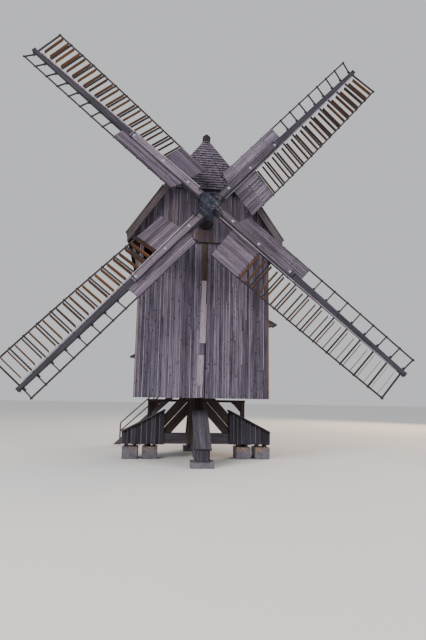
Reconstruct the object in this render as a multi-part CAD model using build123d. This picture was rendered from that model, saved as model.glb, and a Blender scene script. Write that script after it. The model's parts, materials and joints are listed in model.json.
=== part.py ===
from build123d import *
from math import atan, cos, degrees, radians, sin, tan
import os

# Post mill on an open trestle, with shuttered sails.
# Millimetres, +Z up. The origin is on the ground under the centre of the post.
# The sails face -Y. The trestle stands still, the house turns on the post,
# and the windshaft carries the sails round inside the house.

# House
HOUSE_WIDTH = 5200
FRONT_REACH = 2400
REAR_REACH = 4300
HOUSE_BOTTOM = 2530
WALL = 150
FLOOR_TOP = 3500
FLOOR_BOARD = 40
CORNER_GAP_WIDTH = 300
CORNER_GAP_BOTTOM = 930
CORNER_GAP_TOP = 230
BATTEN_WIDTH = 210
BATTEN_THICKNESS = 30
BATTEN_SHIFT = 120
BATTEN_FOOT = 60
BATTEN_BREAK = 1630
UPPER_BATTEN_WIDTH = 160
UPPER_BATTEN_THICKNESS = 22

# Small side windows, measured from the post's centre and from the floor
WINDOW_SIZE = 550
WINDOW_LEFT_Y = 1700
WINDOW_LEFT_SILL = 280
WINDOW_RIGHT_Y = -1850
WINDOW_RIGHT_SILL = 1450
LEAF_THICKNESS = 40
LEAF_INSET = 20
HOOD_RISE = 370
HOOD_FALL = 270
HOOD_REACH = 500
HOOD_BOARD = 50
HOOD_OVERLAP = 100
HOOD_BRACKET = 50
HOOD_BRACKET_DROP = 420
HOOD_BRACKET_REACH = 420

# Roof
EAVE_HEIGHT = 8930
EAVE_OVERHANG = 520
ROOF_SLOPE = 56.5
ROOF_THICKNESS = 140
VERGE_OVERHANG = 400
HIP_DROP = 2660
HIP_SLOPE = 73
GABLE_STEP = 110
GABLE_DROP = 130
VERGE_BOARD_DEPTH = 230
VERGE_BOARD_THICKNESS = 35
VERGE_BOARD_GAP = 100
SOFFIT_DROP = 1180
SOFFIT_BOARD = 30
SOFFIT_TIP = 60
EAVE_BRACKET = 80
EAVE_BRACKET_COUNT = 5
EAVE_BRACKET_INSET = 150
CAP_WIDTH = 180
CAP_RISE = 60
CAP_BOX_WIDTH = 240
CAP_BOX_LENGTH = 250
CAP_BOX_RISE = 200
CAP_SKIRT = 150

# Trestle
CROSSTREE_REACH = 3120
CROSSTREE_WIDTH = 400
CROSSTREE_DEPTH = 440
CROSSTREE_LAP = 40
LOWER_BEAM_BOTTOM = 250
UPPER_BEAM_BOTTOM = 600
POST_WIDTH = 700
POST_ROUND = 680
POST_CHAMFER = 60
POST_BEVEL = 180
POST_SHOULDER = 3060
POST_TOP = 5200
PINTLE = 180
PINTLE_HEIGHT = 160
BAR_SLOPE = 48
BAR_DEPTH = 350
BAR_WIDTH = 340
BAR_GAP = 30
BAR_FOOT = 1120
COVER_BOARD = 40
COVER_INNER = 1400
COVER_TOP_INNER = 1950
COVER_FOOT_RISE = 40
COPING_WIDTH = 640
COPING_THICKNESS = 50
COPING_LIP = 40
COPING_NOSE = 60
BLOCK_WIDTH = 640
BLOCK_DEPTH = 860
BLOCK_GAP = 180
PACKING = 110
PACKING_WIDTH = 120
PACKING_SPREAD = 340
PAD_WIDTH = 860
PAD_LENGTH = 620
PROP_HALF = 2050
PROP_POST = 180
PROP_BEAM_TOP = 2460
PROP_BEAM_DEPTH = 110
PROP_BEAM_END = 20
KNEE_DEPTH = 100
KNEE_REACH = 420
KNEE_TIP = 90
KNEE_STEP = 120

# Frame timbers inside the house
SHEER_WIDTH = 260
SHEER_DEPTH = 300
CROWN_DEPTH = 560
CROWN_WIDTH = 520
WEATHER_BEAM_INSET = 250
WEATHER_BEAM_WIDTH = 400
WEATHER_BEAM_DEPTH = 500
TAIL_BEAM_AHEAD = 3000
TAIL_BEAM_WIDTH = 300
TAIL_BEAM_DEPTH = 350
RUNNING_GAP = 0.3
TURNING_GAP = 15
SHAFT_CLEARANCE = 40

# Stair, landing and door behind the house
LANDING_LEFT = -150
LANDING_RIGHT = 1350
LANDING_DEPTH = 1150
JOIST = 80
JOIST_DEPTH = 160
JOIST_INSET = 60
STRUT_DROP = 850
STRUT_DEPTH = 90
STAIR_SLOPE = 42.6
STAIR_FOOT = 110
STAIR_WIDTH = 900
STAIR_OFF_WALL = 120
STRINGER = 50
STRINGER_DEPTH = 260
STRINGER_RISE = 60
STRINGER_NOSE = 120
TREAD_THICKNESS = 45
TREAD_NOSE = 60
TREAD_GAP = 20
RISER_COUNT = 15
RAIL_HEIGHT = 900
RAIL_SIZE = 70
HANDRAIL_WIDTH = 50
MIDDLE_RAIL_HEIGHT = 480
RAIL_POST_DROP = 150
RAIL_FOOT_INSET = 150
RAIL_HEAD_INSET = 80
DOOR_WIDTH = 950
DOOR_HEIGHT = 1950
DOOR_THICKNESS = 50

# Windshaft, poll end and stocks
HUB_GAP = 1500
HUB_RISE = 800
SHAFT_INCLINE = 5.7
SHAFT_DIAMETER = 480
SHAFT_BODY_TAIL = 420
JOURNAL = 300
JOURNAL_LENGTH = 700
SHAFT_STUB = 120
POLL_LENGTH = 1000
SLEEVE_LENGTH = 600
SLEEVE_WALL = 45
SLEEVE_RIM = 25
SLEEVE_RIM_LENGTH = 50
POLL_FLANGE = 640
POLL_BOSS = 190
POLL_BOSS_DEPTH = 25
STOCK_ROOT = 330
STOCK_TIP = 150
STOCK_DEPTH_ROOT = 300
STOCK_DEPTH_TIP = 130
SAIL_REACH = 9490
STOCK_SPACING = 380
REST_ANGLE = -41.8
PLANK_INNER = 480
PLANK_REACH = 4100
PLANK_WIDTH = 210
PLANK_THICKNESS = 60
STRAP_WIDTH = 50
STRAP_THICKNESS = 12
ROOT_STRAP = 400
PLANK_STRAP_INSET = 80
TIP_STRAP_INSET = 55

# Striking gear in front of the hub
SPIDER_AHEAD = 120
SPIDER_REACH = 420
SPIDER_BAR = 40
SPIDER_PLATE = 14
SPIDER_HUB = 130
SPIDER_ROD = 44
ROCKER_RADIUS = 650
ROCKER_INNER = 60
ROCKER_OUTER = 330
ROCKER_WIDTH = 34
LINK = 22
ROD_SIZE = 36
ROD_OFFSET = 36
ROD_SETBACK = 10
STAPLE_LENGTH = 60
STAPLE_EVERY = 3

# Sails
SAIL_COUNT = 4
BAR_COUNT = 14
TIP_OVERHANG = 170
BAR_PITCH = 612
WIDE_ROOT = 1400
WIDE_TIP = 1240
NARROW_SIDE = 600
SAIL_BAR_WIDTH = 60
SAIL_BAR_THICKNESS = 45
STUB_REACH = 200
STUB_WEDGE = 34
LATH_ROOT = 175
LATH_WIDTH = 45
LEAN_ROOT = 0
LEAN_TIP = 26
HEM_WIDTH = 60
HEM_THICKNESS = 30
BAR_POKE = 50
TWIST_TIP = -1
TWIST_ROOT = 29
SHUTTERED_BAYS = 11
SHUTTERS_PER_BAY = 2
SHUTTER_FIRST = 0.33
SHUTTER_SPACING = 0.49
SHUTTER_WIDTH = 210
SHUTTER_THICKNESS = 14
SHUTTER_ANGLE = -15
SHUTTER_INSET = 230
SAIL_BOARD = 20
BOARD_GAP = 14
BOARD_OVERRUN = 60
BOARD_LAP = 30
BOARD_STAGGER = 35
WIDE_BOARDS = 8
WIDE_BOARDS_INSET = 260
WIDE_BOARDED_BAYS = 2
NARROW_BOARDS = 5
NARROW_BOARDS_INSET = 206
NARROW_BOARDED_BAYS = 5

BIG = 40000

HALF_WIDTH = HOUSE_WIDTH / 2
ROOF_RISE = tan(radians(ROOF_SLOPE))
EAVE_X = HALF_WIDTH + EAVE_OVERHANG
RIDGE_HEIGHT = EAVE_HEIGHT + EAVE_X * ROOF_RISE
HIP_EAVE_HEIGHT = RIDGE_HEIGHT - HIP_DROP
HIP_RUN = HIP_DROP / tan(radians(HIP_SLOPE))
GABLE_FOOT = EAVE_HEIGHT - GABLE_DROP
VERGE_FRONT = -(FRONT_REACH + VERGE_OVERHANG)
VERGE_REAR = REAR_REACH + VERGE_OVERHANG
UPPER_BEAM_TOP = UPPER_BEAM_BOTTOM + CROSSTREE_DEPTH
BLOCK_TOP = UPPER_BEAM_BOTTOM - PACKING
LOWER_BEAM_TOP = UPPER_BEAM_BOTTOM + CROSSTREE_LAP
PROP_NEAR = CROSSTREE_WIDTH / 2 + COVER_BOARD
HUB_AHEAD = FRONT_REACH + HUB_GAP
HUB_HEIGHT = EAVE_HEIGHT + HUB_RISE
WEATHER_BEAM_Y = -FRONT_REACH + WALL + WEATHER_BEAM_INSET
TAIL_BEAM_Y = REAR_REACH - TAIL_BEAM_AHEAD
POLL_FRONT = STOCK_SPACING / 2 + STOCK_DEPTH_ROOT / 2 + SLEEVE_WALL
PLANK_FRONT = STOCK_DEPTH_ROOT / 2 + RUNNING_GAP + PLANK_THICKNESS
DOOR_LEFT = (LANDING_LEFT + LANDING_RIGHT - DOOR_WIDTH) / 2
SIDES = ((-1, "left"), (1, "right"))
ENDS = ((-1, "front"), (1, "rear"))


def beam(start, end, width, depth, side):
    """A straight timber from start to end, with its width along side."""
    run = Vector(end) - Vector(start)
    axis = run.normalized()
    across = Vector(side) - axis * Vector(side).dot(axis)
    place = Plane(origin=start, x_dir=across, z_dir=axis)
    return place * Box(width, depth, run.length, align=(Align.CENTER, Align.CENTER, Align.MIN))


def block(x_range, y_range, z_range):
    """A box between two values on each axis, given in either order."""
    ranges = [sorted(pair) for pair in (x_range, y_range, z_range)]
    size = [high - low for low, high in ranges]
    return Pos(*[low for low, high in ranges]) * Box(*size, align=(Align.MIN, Align.MIN, Align.MIN))


def below(point, normal):
    """Everything on the far side of a plane from its normal."""
    place = Plane(origin=point, z_dir=normal)
    return place * Box(BIG, BIG, BIG, align=(Align.CENTER, Align.CENTER, Align.MAX))


def slab(points, y, depth):
    """An outline in x and z, drawn at y and made deep towards +Y."""
    face = make_face(Polyline(*[(x, y, z) for x, z in points], close=True))
    return extrude(face, amount=depth, dir=(0, 1, 0))


def save(shape, name):
    export_step(shape, f"parts/{name}.step")


# Roof planes
def slope_side(side, inset=0):
    """All that lies under one long slope, side -1 for left and 1 for right."""
    normal = Vector(side * sin(radians(ROOF_SLOPE)), 0, cos(radians(ROOF_SLOPE)))
    point = Vector(side * EAVE_X, 0, EAVE_HEIGHT) - normal * inset
    return below(point, normal)


def slope_hip(end, inset=0):
    """All that lies under one half-hip, end -1 for front and 1 for rear."""
    normal = Vector(0, end * sin(radians(HIP_SLOPE)), cos(radians(HIP_SLOPE)))
    verge = VERGE_FRONT if end < 0 else VERGE_REAR
    point = Vector(0, verge, HIP_EAVE_HEIGHT) - normal * inset
    return below(point, normal)


def under_roof(shape, inset):
    """Cuts a shape off at the roof planes, moved in by inset."""
    for side in (-1, 1):
        shape = shape & slope_side(side, inset) & slope_hip(side, inset)
    return shape


def roof_body(bottom):
    """The space under the roof's outer planes, over a height."""
    return under_roof(block((-EAVE_X, EAVE_X), (VERGE_FRONT, VERGE_REAR), (bottom, RIDGE_HEIGHT)), 0)


def roof_parts():
    whole = roof_body(EAVE_HEIGHT - VERGE_BOARD_DEPTH / cos(radians(ROOF_SLOPE)))
    over_hip_eave = block((-BIG, BIG), (-BIG, BIG), (HIP_EAVE_HEIGHT, BIG))
    hips = {end: (whole - slope_hip(end, ROOF_THICKNESS)) & over_hip_eave for end in (-1, 1)}
    slopes = {}
    for side in (-1, 1):
        half = whole & block((0, side * BIG), (-BIG, BIG), (0, BIG))
        slopes[side] = half - slope_side(side, ROOF_THICKNESS) - hips[-1] - hips[1]
    return slopes, hips


def verge_boards():
    """Light boards on the sloping roof edges at both ends."""
    boards = []
    lowest = EAVE_HEIGHT - VERGE_BOARD_DEPTH / cos(radians(ROOF_SLOPE))
    for end in (-1, 1):
        verge = VERGE_FRONT if end < 0 else VERGE_REAR
        outer = verge + end * VERGE_BOARD_THICKNESS
        for side in (-1, 1):
            strip = block((side * VERGE_BOARD_GAP / 2, side * EAVE_X), (verge, outer), (lowest, HIP_EAVE_HEIGHT))
            boards.append((strip & slope_side(side)) - slope_side(side, VERGE_BOARD_DEPTH))
    return Compound(boards)


def ridge_cap():
    """The two boards and the end box that close the ridge."""
    front = VERGE_FRONT + HIP_RUN
    rear = VERGE_REAR - HIP_RUN
    lip = CAP_WIDTH / 6
    low = RIDGE_HEIGHT - CAP_SKIRT
    cap = block((-CAP_WIDTH / 2, CAP_WIDTH / 2), (front - lip, rear + lip), (low, RIDGE_HEIGHT + CAP_RISE))
    cap += block((-CAP_BOX_WIDTH / 2, CAP_BOX_WIDTH / 2), (front - CAP_BOX_LENGTH / 2, front + CAP_BOX_LENGTH / 2),
                 (low + lip, RIDGE_HEIGHT + CAP_BOX_RISE))
    return cap - roof_body(0)


# House walls
def side_wall(side):
    """A long wall, cut off under the roof, with one small window."""
    wall = block((side * HALF_WIDTH, side * (HALF_WIDTH - WALL)), (-FRONT_REACH, REAR_REACH),
                 (HOUSE_BOTTOM, RIDGE_HEIGHT))
    wall = wall & slope_side(side, ROOF_THICKNESS)
    return wall - window_block(side, HALF_WIDTH + WALL, HALF_WIDTH - 2 * WALL)


def window_place(side):
    """Near edge along the wall, and height of the sill."""
    if side < 0:
        return WINDOW_LEFT_Y, FLOOR_TOP + WINDOW_LEFT_SILL
    return WINDOW_RIGHT_Y, FLOOR_TOP + WINDOW_RIGHT_SILL


def window_block(side, outer, inner):
    """The window's square, between two distances from the middle of the house."""
    y, z = window_place(side)
    return block((side * outer, side * inner), (y, y + WINDOW_SIZE), (z, z + WINDOW_SIZE))


def window_leaf(side):
    """The plain board shutter that fills a side window."""
    outer = HALF_WIDTH - LEAF_INSET
    return window_block(side, outer, outer - LEAF_THICKNESS)


def window_hood(side):
    """A small pent roof on two brackets over a side window."""
    y, z = window_place(side)
    wall_x = side * HALF_WIDTH
    top = z + WINDOW_SIZE + HOOD_RISE
    tip_x = side * (HALF_WIDTH + HOOD_REACH)
    tip = top - HOOD_FALL
    roof = [(wall_x, top), (tip_x, tip), (tip_x, tip - HOOD_BOARD), (wall_x, top - HOOD_BOARD)]
    length = WINDOW_SIZE + 2 * HOOD_OVERLAP
    hood = slab(roof, y - HOOD_OVERLAP, length)
    knee_x = side * (HALF_WIDTH + HOOD_BRACKET_REACH)
    knee = [(wall_x, top - HOOD_BOARD), (knee_x, tip - HOOD_BOARD / 2), (wall_x, top - HOOD_BRACKET_DROP)]
    shift = HOOD_OVERLAP / 2
    for start in (y - shift, y + WINDOW_SIZE + shift - HOOD_BRACKET):
        hood += slab(knee, start, HOOD_BRACKET)
    return hood


def front_wall():
    """The breast of the mill, with boards missing at its upper left corner."""
    inner = HALF_WIDTH - WALL
    wall = block((-inner, inner), (-FRONT_REACH, -FRONT_REACH + WALL), (HOUSE_BOTTOM, GABLE_FOOT))
    gap = block((-inner, -inner + CORNER_GAP_WIDTH), (-BIG, BIG),
                (EAVE_HEIGHT - CORNER_GAP_BOTTOM, EAVE_HEIGHT - CORNER_GAP_TOP))
    return wall - gap


def front_battens():
    """The light cover strip down the middle of the front wall, and the browner one over it."""
    foot = HOUSE_BOTTOM + BATTEN_FOOT
    middle = EAVE_HEIGHT - BATTEN_BREAK
    lower = block((-BATTEN_SHIFT - BATTEN_WIDTH / 2, -BATTEN_SHIFT + BATTEN_WIDTH / 2),
                  (-FRONT_REACH - BATTEN_THICKNESS, -FRONT_REACH), (foot, middle))
    shift = BATTEN_SHIFT / 4
    upper = block((-shift - UPPER_BATTEN_WIDTH / 2, -shift + UPPER_BATTEN_WIDTH / 2),
                  (-FRONT_REACH - UPPER_BATTEN_THICKNESS, -FRONT_REACH), (middle + RUNNING_GAP, GABLE_FOOT))
    return Compound([lower, upper])


def gable(end):
    """The boarded triangle over an end wall, which steps out past it."""
    reach = FRONT_REACH if end < 0 else REAR_REACH
    outer = end * (reach + GABLE_STEP)
    inner = end * (reach - WALL)
    wall = under_roof(block((-EAVE_X, EAVE_X), (outer, inner), (GABLE_FOOT, RIDGE_HEIGHT)), ROOF_THICKNESS)
    for side in (-1, 1):
        wall = wall - block((side * (HALF_WIDTH - WALL), side * BIG), (end * reach, inner), (0, BIG))
    if end < 0:
        wall = wall - shaft_passage()
    return wall


def rear_wall():
    inner = HALF_WIDTH - WALL
    wall = block((-inner, inner), (REAR_REACH - WALL, REAR_REACH), (HOUSE_BOTTOM, GABLE_FOOT))
    return wall - door_block(0, BIG)


def door_block(start, end):
    return block((DOOR_LEFT, DOOR_LEFT + DOOR_WIDTH), (start, end), (FLOOR_TOP, FLOOR_TOP + DOOR_HEIGHT))


def rear_door():
    middle = REAR_REACH - WALL / 2
    return door_block(middle, middle + DOOR_THICKNESS)


def floor():
    hole = POST_ROUND / 2 + TURNING_GAP + SHEER_WIDTH / 2
    inner = HALF_WIDTH - WALL
    boards = block((-inner, inner), (-FRONT_REACH + WALL, REAR_REACH - WALL), (FLOOR_TOP - FLOOR_BOARD, FLOOR_TOP))
    return boards - block((-hole, hole), (-hole, hole), (0, BIG))


def sheers():
    """Two long timbers under the floor, one on each side of the post."""
    inner = POST_ROUND / 2 + TURNING_GAP
    top = FLOOR_TOP - FLOOR_BOARD
    return Compound([
        block((side * inner, side * (inner + SHEER_WIDTH)), (-FRONT_REACH + WALL, REAR_REACH - WALL),
              (top - SHEER_DEPTH, top))
        for side in (-1, 1)
    ])


def upright(diameter, bottom, height):
    """A round piece standing on the post's axis."""
    return Pos(0, 0, bottom) * Cylinder(diameter / 2, height, align=(Align.CENTER, Align.CENTER, Align.MIN))


def crown_tree():
    """The cross timber that hangs the whole house on the post."""
    bottom = POST_TOP + RUNNING_GAP
    inner = HALF_WIDTH - WALL
    timber = block((-inner, inner), (-CROWN_WIDTH / 2, CROWN_WIDTH / 2), (bottom, bottom + CROWN_DEPTH))
    return timber - upright(PINTLE + 2 * RUNNING_GAP, POST_TOP, PINTLE_HEIGHT + 2 * RUNNING_GAP)


def eave_outline(side, inset):
    """The triangle between the wall, the sloping soffit and the roof's underside."""
    return [(side * HALF_WIDTH, EAVE_HEIGHT - SOFFIT_DROP + inset * 2), (side * (EAVE_X - SOFFIT_TIP - inset), EAVE_HEIGHT),
            (side * HALF_WIDTH, EAVE_HEIGHT + SOFFIT_DROP)]


def eave_space(side, inset, start, depth):
    return slab(eave_outline(side, inset), start, depth) & slope_side(side, ROOF_THICKNESS)


def eave_brackets():
    """Boards on edge that carry the eaves, in rows along both long walls."""
    pieces = []
    last = REAR_REACH - EAVE_BRACKET_INSET - EAVE_BRACKET
    first = -FRONT_REACH + EAVE_BRACKET_INSET
    step = (last - first) / (EAVE_BRACKET_COUNT - 1)
    for side in (-1, 1):
        for index in range(EAVE_BRACKET_COUNT):
            pieces.append(eave_space(side, SOFFIT_BOARD + RUNNING_GAP, first + index * step, EAVE_BRACKET))
    return Compound(pieces)


def eave_soffits():
    """The sloping boards that close the eaves from the wall out to the roof's edge."""
    length = REAR_REACH + FRONT_REACH
    pieces = []
    for side in (-1, 1):
        whole = eave_space(side, 0, -FRONT_REACH, length)
        pieces.append(whole - slab(eave_outline(side, SOFFIT_BOARD), -FRONT_REACH, length))
    return Compound(pieces)


# Stair, landing and rails
def landing():
    back = REAR_REACH + LANDING_DEPTH
    top = FLOOR_TOP - FLOOR_BOARD
    deck = block((LANDING_LEFT, LANDING_RIGHT), (REAR_REACH, back), (top, FLOOR_TOP))
    wall_side = block((-BIG, BIG), (-BIG, REAR_REACH), (-BIG, BIG))
    for x in (LANDING_LEFT + JOIST_INSET, LANDING_RIGHT - JOIST_INSET - JOIST):
        middle = x + JOIST / 2
        deck += block((x, x + JOIST), (REAR_REACH, back), (top - JOIST_DEPTH, top))
        strut = beam((middle, REAR_REACH - JOIST, top - STRUT_DROP - JOIST), (middle, back - JOIST_DEPTH, top - JOIST),
                     JOIST, STRUT_DEPTH, (1, 0, 0))
        deck += strut - wall_side
    return deck


def stair_line():
    """Start and end of the stair's slope, from foot to landing."""
    run = (FLOOR_TOP - STAIR_FOOT) / tan(radians(STAIR_SLOPE))
    return Vector(LANDING_LEFT - run, 0, STAIR_FOOT), Vector(LANDING_LEFT, 0, FLOOR_TOP)


def stair_y():
    near = REAR_REACH + STAIR_OFF_WALL
    return near, near + STAIR_WIDTH


def stringers():
    foot, head = stair_line()
    toe = foot.X - STRINGER_NOSE
    top = head.Z + STRINGER_RISE
    outline = [(toe, foot.Z), (head.X, top), (head.X, top - STRINGER_DEPTH / cos(radians(STAIR_SLOPE))),
               (toe + STRINGER_DEPTH / sin(radians(STAIR_SLOPE)), foot.Z)]
    near, far = stair_y()
    return Compound([slab(outline, y, STRINGER) for y in (near, far - STRINGER)])


def treads():
    foot, head = stair_line()
    near, far = stair_y()
    rise = (head.Z - foot.Z) / RISER_COUNT
    run = (head.X - foot.X) / RISER_COUNT
    steps = []
    for index in range(1, RISER_COUNT):
        x = foot.X + index * run
        z = foot.Z + index * rise
        steps.append(block((x - TREAD_NOSE, x + run - TREAD_GAP), (near + STRINGER, far - STRINGER),
                           (z - TREAD_THICKNESS, z)))
    return Compound(steps)


def stair_rail():
    """Posts, middle rail and handrail on the outer side of the stair."""
    foot, head = stair_line()
    far = stair_y()[1]
    middle = far + RAIL_SIZE / 2
    slope = tan(radians(STAIR_SLOPE))
    low = Vector(foot.X + RAIL_FOOT_INSET, middle, foot.Z + RAIL_FOOT_INSET * slope)
    high = Vector(head.X - RAIL_HEAD_INSET, middle, head.Z - RAIL_HEAD_INSET * slope)
    rail = Part()
    for share in (0.0, 0.5, 1.0):
        base = low + (high - low) * share
        rail += block((base.X - RAIL_SIZE / 2, base.X + RAIL_SIZE / 2), (far, far + RAIL_SIZE),
                      (base.Z - RAIL_POST_DROP, base.Z + RAIL_HEIGHT))
    for height in (MIDDLE_RAIL_HEIGHT, RAIL_HEIGHT):
        shift = Vector(0, 0, height)
        rail += beam(low + shift, high + shift, HANDRAIL_WIDTH, RAIL_SIZE, (0, 1, 0))
    return rail


def landing_rail():
    back = REAR_REACH + LANDING_DEPTH
    top = FLOOR_TOP + RAIL_HEIGHT
    right = (LANDING_RIGHT - RAIL_SIZE, LANDING_RIGHT)
    rail = block(right, (REAR_REACH, REAR_REACH + RAIL_SIZE), (FLOOR_TOP, top))
    for x_range in ((LANDING_LEFT, LANDING_LEFT + RAIL_SIZE), right):
        rail += block(x_range, (back - RAIL_SIZE, back), (FLOOR_TOP, top))
    for height in (MIDDLE_RAIL_HEIGHT, RAIL_HEIGHT):
        z_range = (FLOOR_TOP + height - RAIL_SIZE, FLOOR_TOP + height)
        rail += block((LANDING_LEFT, LANDING_RIGHT), (back - RAIL_SIZE, back), z_range)
        rail += block(right, (REAR_REACH, back), z_range)
    return rail


# Trestle
def crosstree_upper():
    half = CROSSTREE_WIDTH / 2
    timber = block((-CROSSTREE_REACH, CROSSTREE_REACH), (-half, half), (UPPER_BEAM_BOTTOM, UPPER_BEAM_TOP))
    return timber - crosstree_lower()


def crosstree_lower():
    half = CROSSTREE_WIDTH / 2
    return block((-half, half), (-CROSSTREE_REACH, CROSSTREE_REACH), (LOWER_BEAM_BOTTOM, LOWER_BEAM_TOP))


def post():
    """Square with chamfered corners up to the shoulder, then round, with a pintle on top."""
    half = POST_WIDTH / 2
    square = block((-half, half), (-half, half), (LOWER_BEAM_TOP, POST_SHOULDER))
    square = chamfer(square.edges().filter_by(Axis.Z), POST_CHAMFER)
    bevel = Pos(0, 0, POST_SHOULDER - POST_BEVEL) * Cone(
        half + POST_BEVEL, half, POST_BEVEL, align=(Align.CENTER, Align.CENTER, Align.MIN))
    shank = block((-half, half), (-half, half), (0, POST_SHOULDER - POST_BEVEL))
    square = square & (bevel + shank)
    shaft = upright(POST_ROUND, POST_SHOULDER, POST_TOP - POST_SHOULDER)
    return square + shaft + upright(PINTLE, POST_TOP, PINTLE_HEIGHT) - crosstree_upper()


def quarter_bars(foot_height):
    """Two braces, one over the other, drawn for the side at +X."""
    slope = radians(BAR_SLOPE)
    out = Vector(cos(slope), 0, -sin(slope))
    up = Vector(sin(slope), 0, cos(slope))
    corner = Vector(BAR_FOOT, 0, foot_height)
    length = (POST_SHOULDER - foot_height) / sin(slope) + 2 * BAR_DEPTH
    limits = block((POST_WIDTH / 2, BIG), (-BIG, BIG), (foot_height, POST_SHOULDER))
    bars = []
    for index in (0, 1):
        centre = corner + up * (BAR_DEPTH / 2 + index * (BAR_DEPTH + BAR_GAP))
        bars.append(beam(centre - out * length, centre + out * length, BAR_WIDTH, BAR_DEPTH, (0, 1, 0)) & limits)
    return bars


def foot_cover(bottom, top):
    """Boarded cheeks, end board and coping over the foot of the braces, drawn for +X."""
    outer = top + COVER_FOOT_RISE
    half = CROSSTREE_WIDTH / 2
    outline = [(COVER_INNER, bottom), (CROSSTREE_REACH, bottom), (CROSSTREE_REACH, outer),
               (COVER_INNER, COVER_TOP_INNER)]
    cover = slab(outline, -half - COVER_BOARD, COVER_BOARD) + slab(outline, half, COVER_BOARD)
    cover += block((CROSSTREE_REACH, CROSSTREE_REACH + COVER_BOARD), (-half - COVER_BOARD, half + COVER_BOARD),
                   (bottom, outer))
    fall = (COVER_TOP_INNER - outer) / (CROSSTREE_REACH - COVER_INNER)
    head = COVER_INNER - COPING_LIP
    nose = CROSSTREE_REACH + COPING_NOSE
    head_z = COVER_TOP_INNER + COPING_LIP * fall
    nose_z = outer - COPING_NOSE * fall
    coping = [(head, head_z), (nose, nose_z), (nose, nose_z + COPING_THICKNESS), (head, head_z + COPING_THICKNESS)]
    return cover + slab(coping, -COPING_WIDTH / 2, COPING_WIDTH)


def prop_beam():
    """The two halves of the prop frame's beam, just under the house, beside the post."""
    inner = POST_WIDTH / 2 + RUNNING_GAP
    reach = PROP_HALF + PROP_POST / 2 + PROP_BEAM_END
    return Compound([
        block((side * inner, side * reach), (PROP_NEAR, PROP_NEAR + PROP_POST),
              (PROP_BEAM_TOP - PROP_BEAM_DEPTH, PROP_BEAM_TOP))
        for side in (-1, 1)
    ])


def prop_posts():
    """Two posts with knee braces, standing on the inner blocks behind the upper crosstree."""
    pieces = []
    top = PROP_BEAM_TOP - PROP_BEAM_DEPTH
    for side in (-1, 1):
        inner = side * (PROP_HALF - PROP_POST / 2)
        leg = block((inner, side * (PROP_HALF + PROP_POST / 2)), (PROP_NEAR, PROP_NEAR + PROP_POST), (BLOCK_TOP, top))
        knee = [(inner, top), (inner - side * KNEE_REACH, top), (inner - side * (KNEE_REACH - KNEE_STEP), top - KNEE_TIP),
                (inner, top - KNEE_REACH)]
        pieces.append(leg + slab(knee, PROP_NEAR + (PROP_POST - KNEE_DEPTH) / 2, KNEE_DEPTH))
    return Compound(pieces)


def block_centres():
    """The middles of the four stone blocks along the upper crosstree."""
    outer = CROSSTREE_REACH - BLOCK_WIDTH / 2
    return [side * (outer - index * (BLOCK_WIDTH + BLOCK_GAP)) for side in (-1, 1) for index in (0, 1)]


def stone_blocks():
    half = BLOCK_WIDTH / 2
    return Compound([
        block((x - half, x + half), (-BLOCK_DEPTH / 2, BLOCK_DEPTH / 2), (0, BLOCK_TOP)) for x in block_centres()
    ])


def stone_pads():
    return Compound([
        block((-PAD_WIDTH / 2, PAD_WIDTH / 2), (end * CROSSTREE_REACH, end * (CROSSTREE_REACH - PAD_LENGTH)),
              (0, LOWER_BEAM_BOTTOM))
        for end in (-1, 1)
    ])


def packing_timbers():
    half = PACKING_WIDTH / 2
    places = [x + shift for x in block_centres() for shift in (-PACKING_SPREAD / 2, PACKING_SPREAD / 2)]
    return Compound([
        block((x - half, x + half), (-CROSSTREE_WIDTH / 2, CROSSTREE_WIDTH / 2), (BLOCK_TOP, UPPER_BEAM_BOTTOM))
        for x in places
    ])


# Windshaft and its bearings. The rotor is drawn with its axis along Y and the
# sails about the origin, then tilted and moved to the hub.
def rotor_place():
    return Pos(0, -HUB_AHEAD, HUB_HEIGHT) * Rot(-SHAFT_INCLINE, 0, 0)


def behind_hub(y):
    """Distance along the shaft, behind the hub, of a place y in the house."""
    return (y + HUB_AHEAD) / cos(radians(SHAFT_INCLINE))


def along_shaft(diameter, start, end):
    """A cylinder on the shaft's axis, from start to end behind the hub."""
    return Pos(0, start, 0) * Rot(-90, 0, 0) * Cylinder(diameter / 2, end - start,
                                                       align=(Align.CENTER, Align.CENTER, Align.MIN))


def octagon(across, y):
    """An eight-sided section of the shaft, across its flats."""
    plane = Plane(origin=(0, y, 0), x_dir=(1, 0, 0), z_dir=(0, 1, 0))
    return plane * Rot(0, 0, 22.5) * RegularPolygon(across / 2, 8, major_radius=False)


def windshaft():
    """Round neck at the weather beam, eight-sided tapering body, round journal at the tail."""
    neck_end = behind_hub(WEATHER_BEAM_Y + WEATHER_BEAM_WIDTH / 2) + WEATHER_BEAM_INSET
    tail = behind_hub(TAIL_BEAM_Y + TAIL_BEAM_WIDTH / 2) + SHAFT_STUB
    journal = tail - JOURNAL_LENGTH
    body = loft([octagon(SHAFT_DIAMETER, neck_end), octagon(SHAFT_BODY_TAIL, journal)], ruled=True)
    return along_shaft(SHAFT_DIAMETER, POLL_LENGTH / 2, neck_end) + body + along_shaft(JOURNAL, journal, tail)


def shaft_passage():
    return rotor_place() * along_shaft(SHAFT_DIAMETER + 2 * SHAFT_CLEARANCE, 0, behind_hub(0))


def bearing_beam(y_centre, width, depth, diameter):
    """A cross beam with a round seat that carries the shaft."""
    axis_z = HUB_HEIGHT - (y_centre + HUB_AHEAD) * tan(radians(SHAFT_INCLINE))
    top = axis_z - diameter / 4
    inner = HALF_WIDTH - WALL
    timber = block((-inner, inner), (y_centre - width / 2, y_centre + width / 2), (top - depth, top))
    seat = rotor_place() * along_shaft(diameter + 2 * RUNNING_GAP, 0, behind_hub(y_centre) + width)
    return timber - seat


def stock_y(index):
    """The front stock is index 0 and the rear one index 1."""
    return (index - 0.5) * STOCK_SPACING


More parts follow.
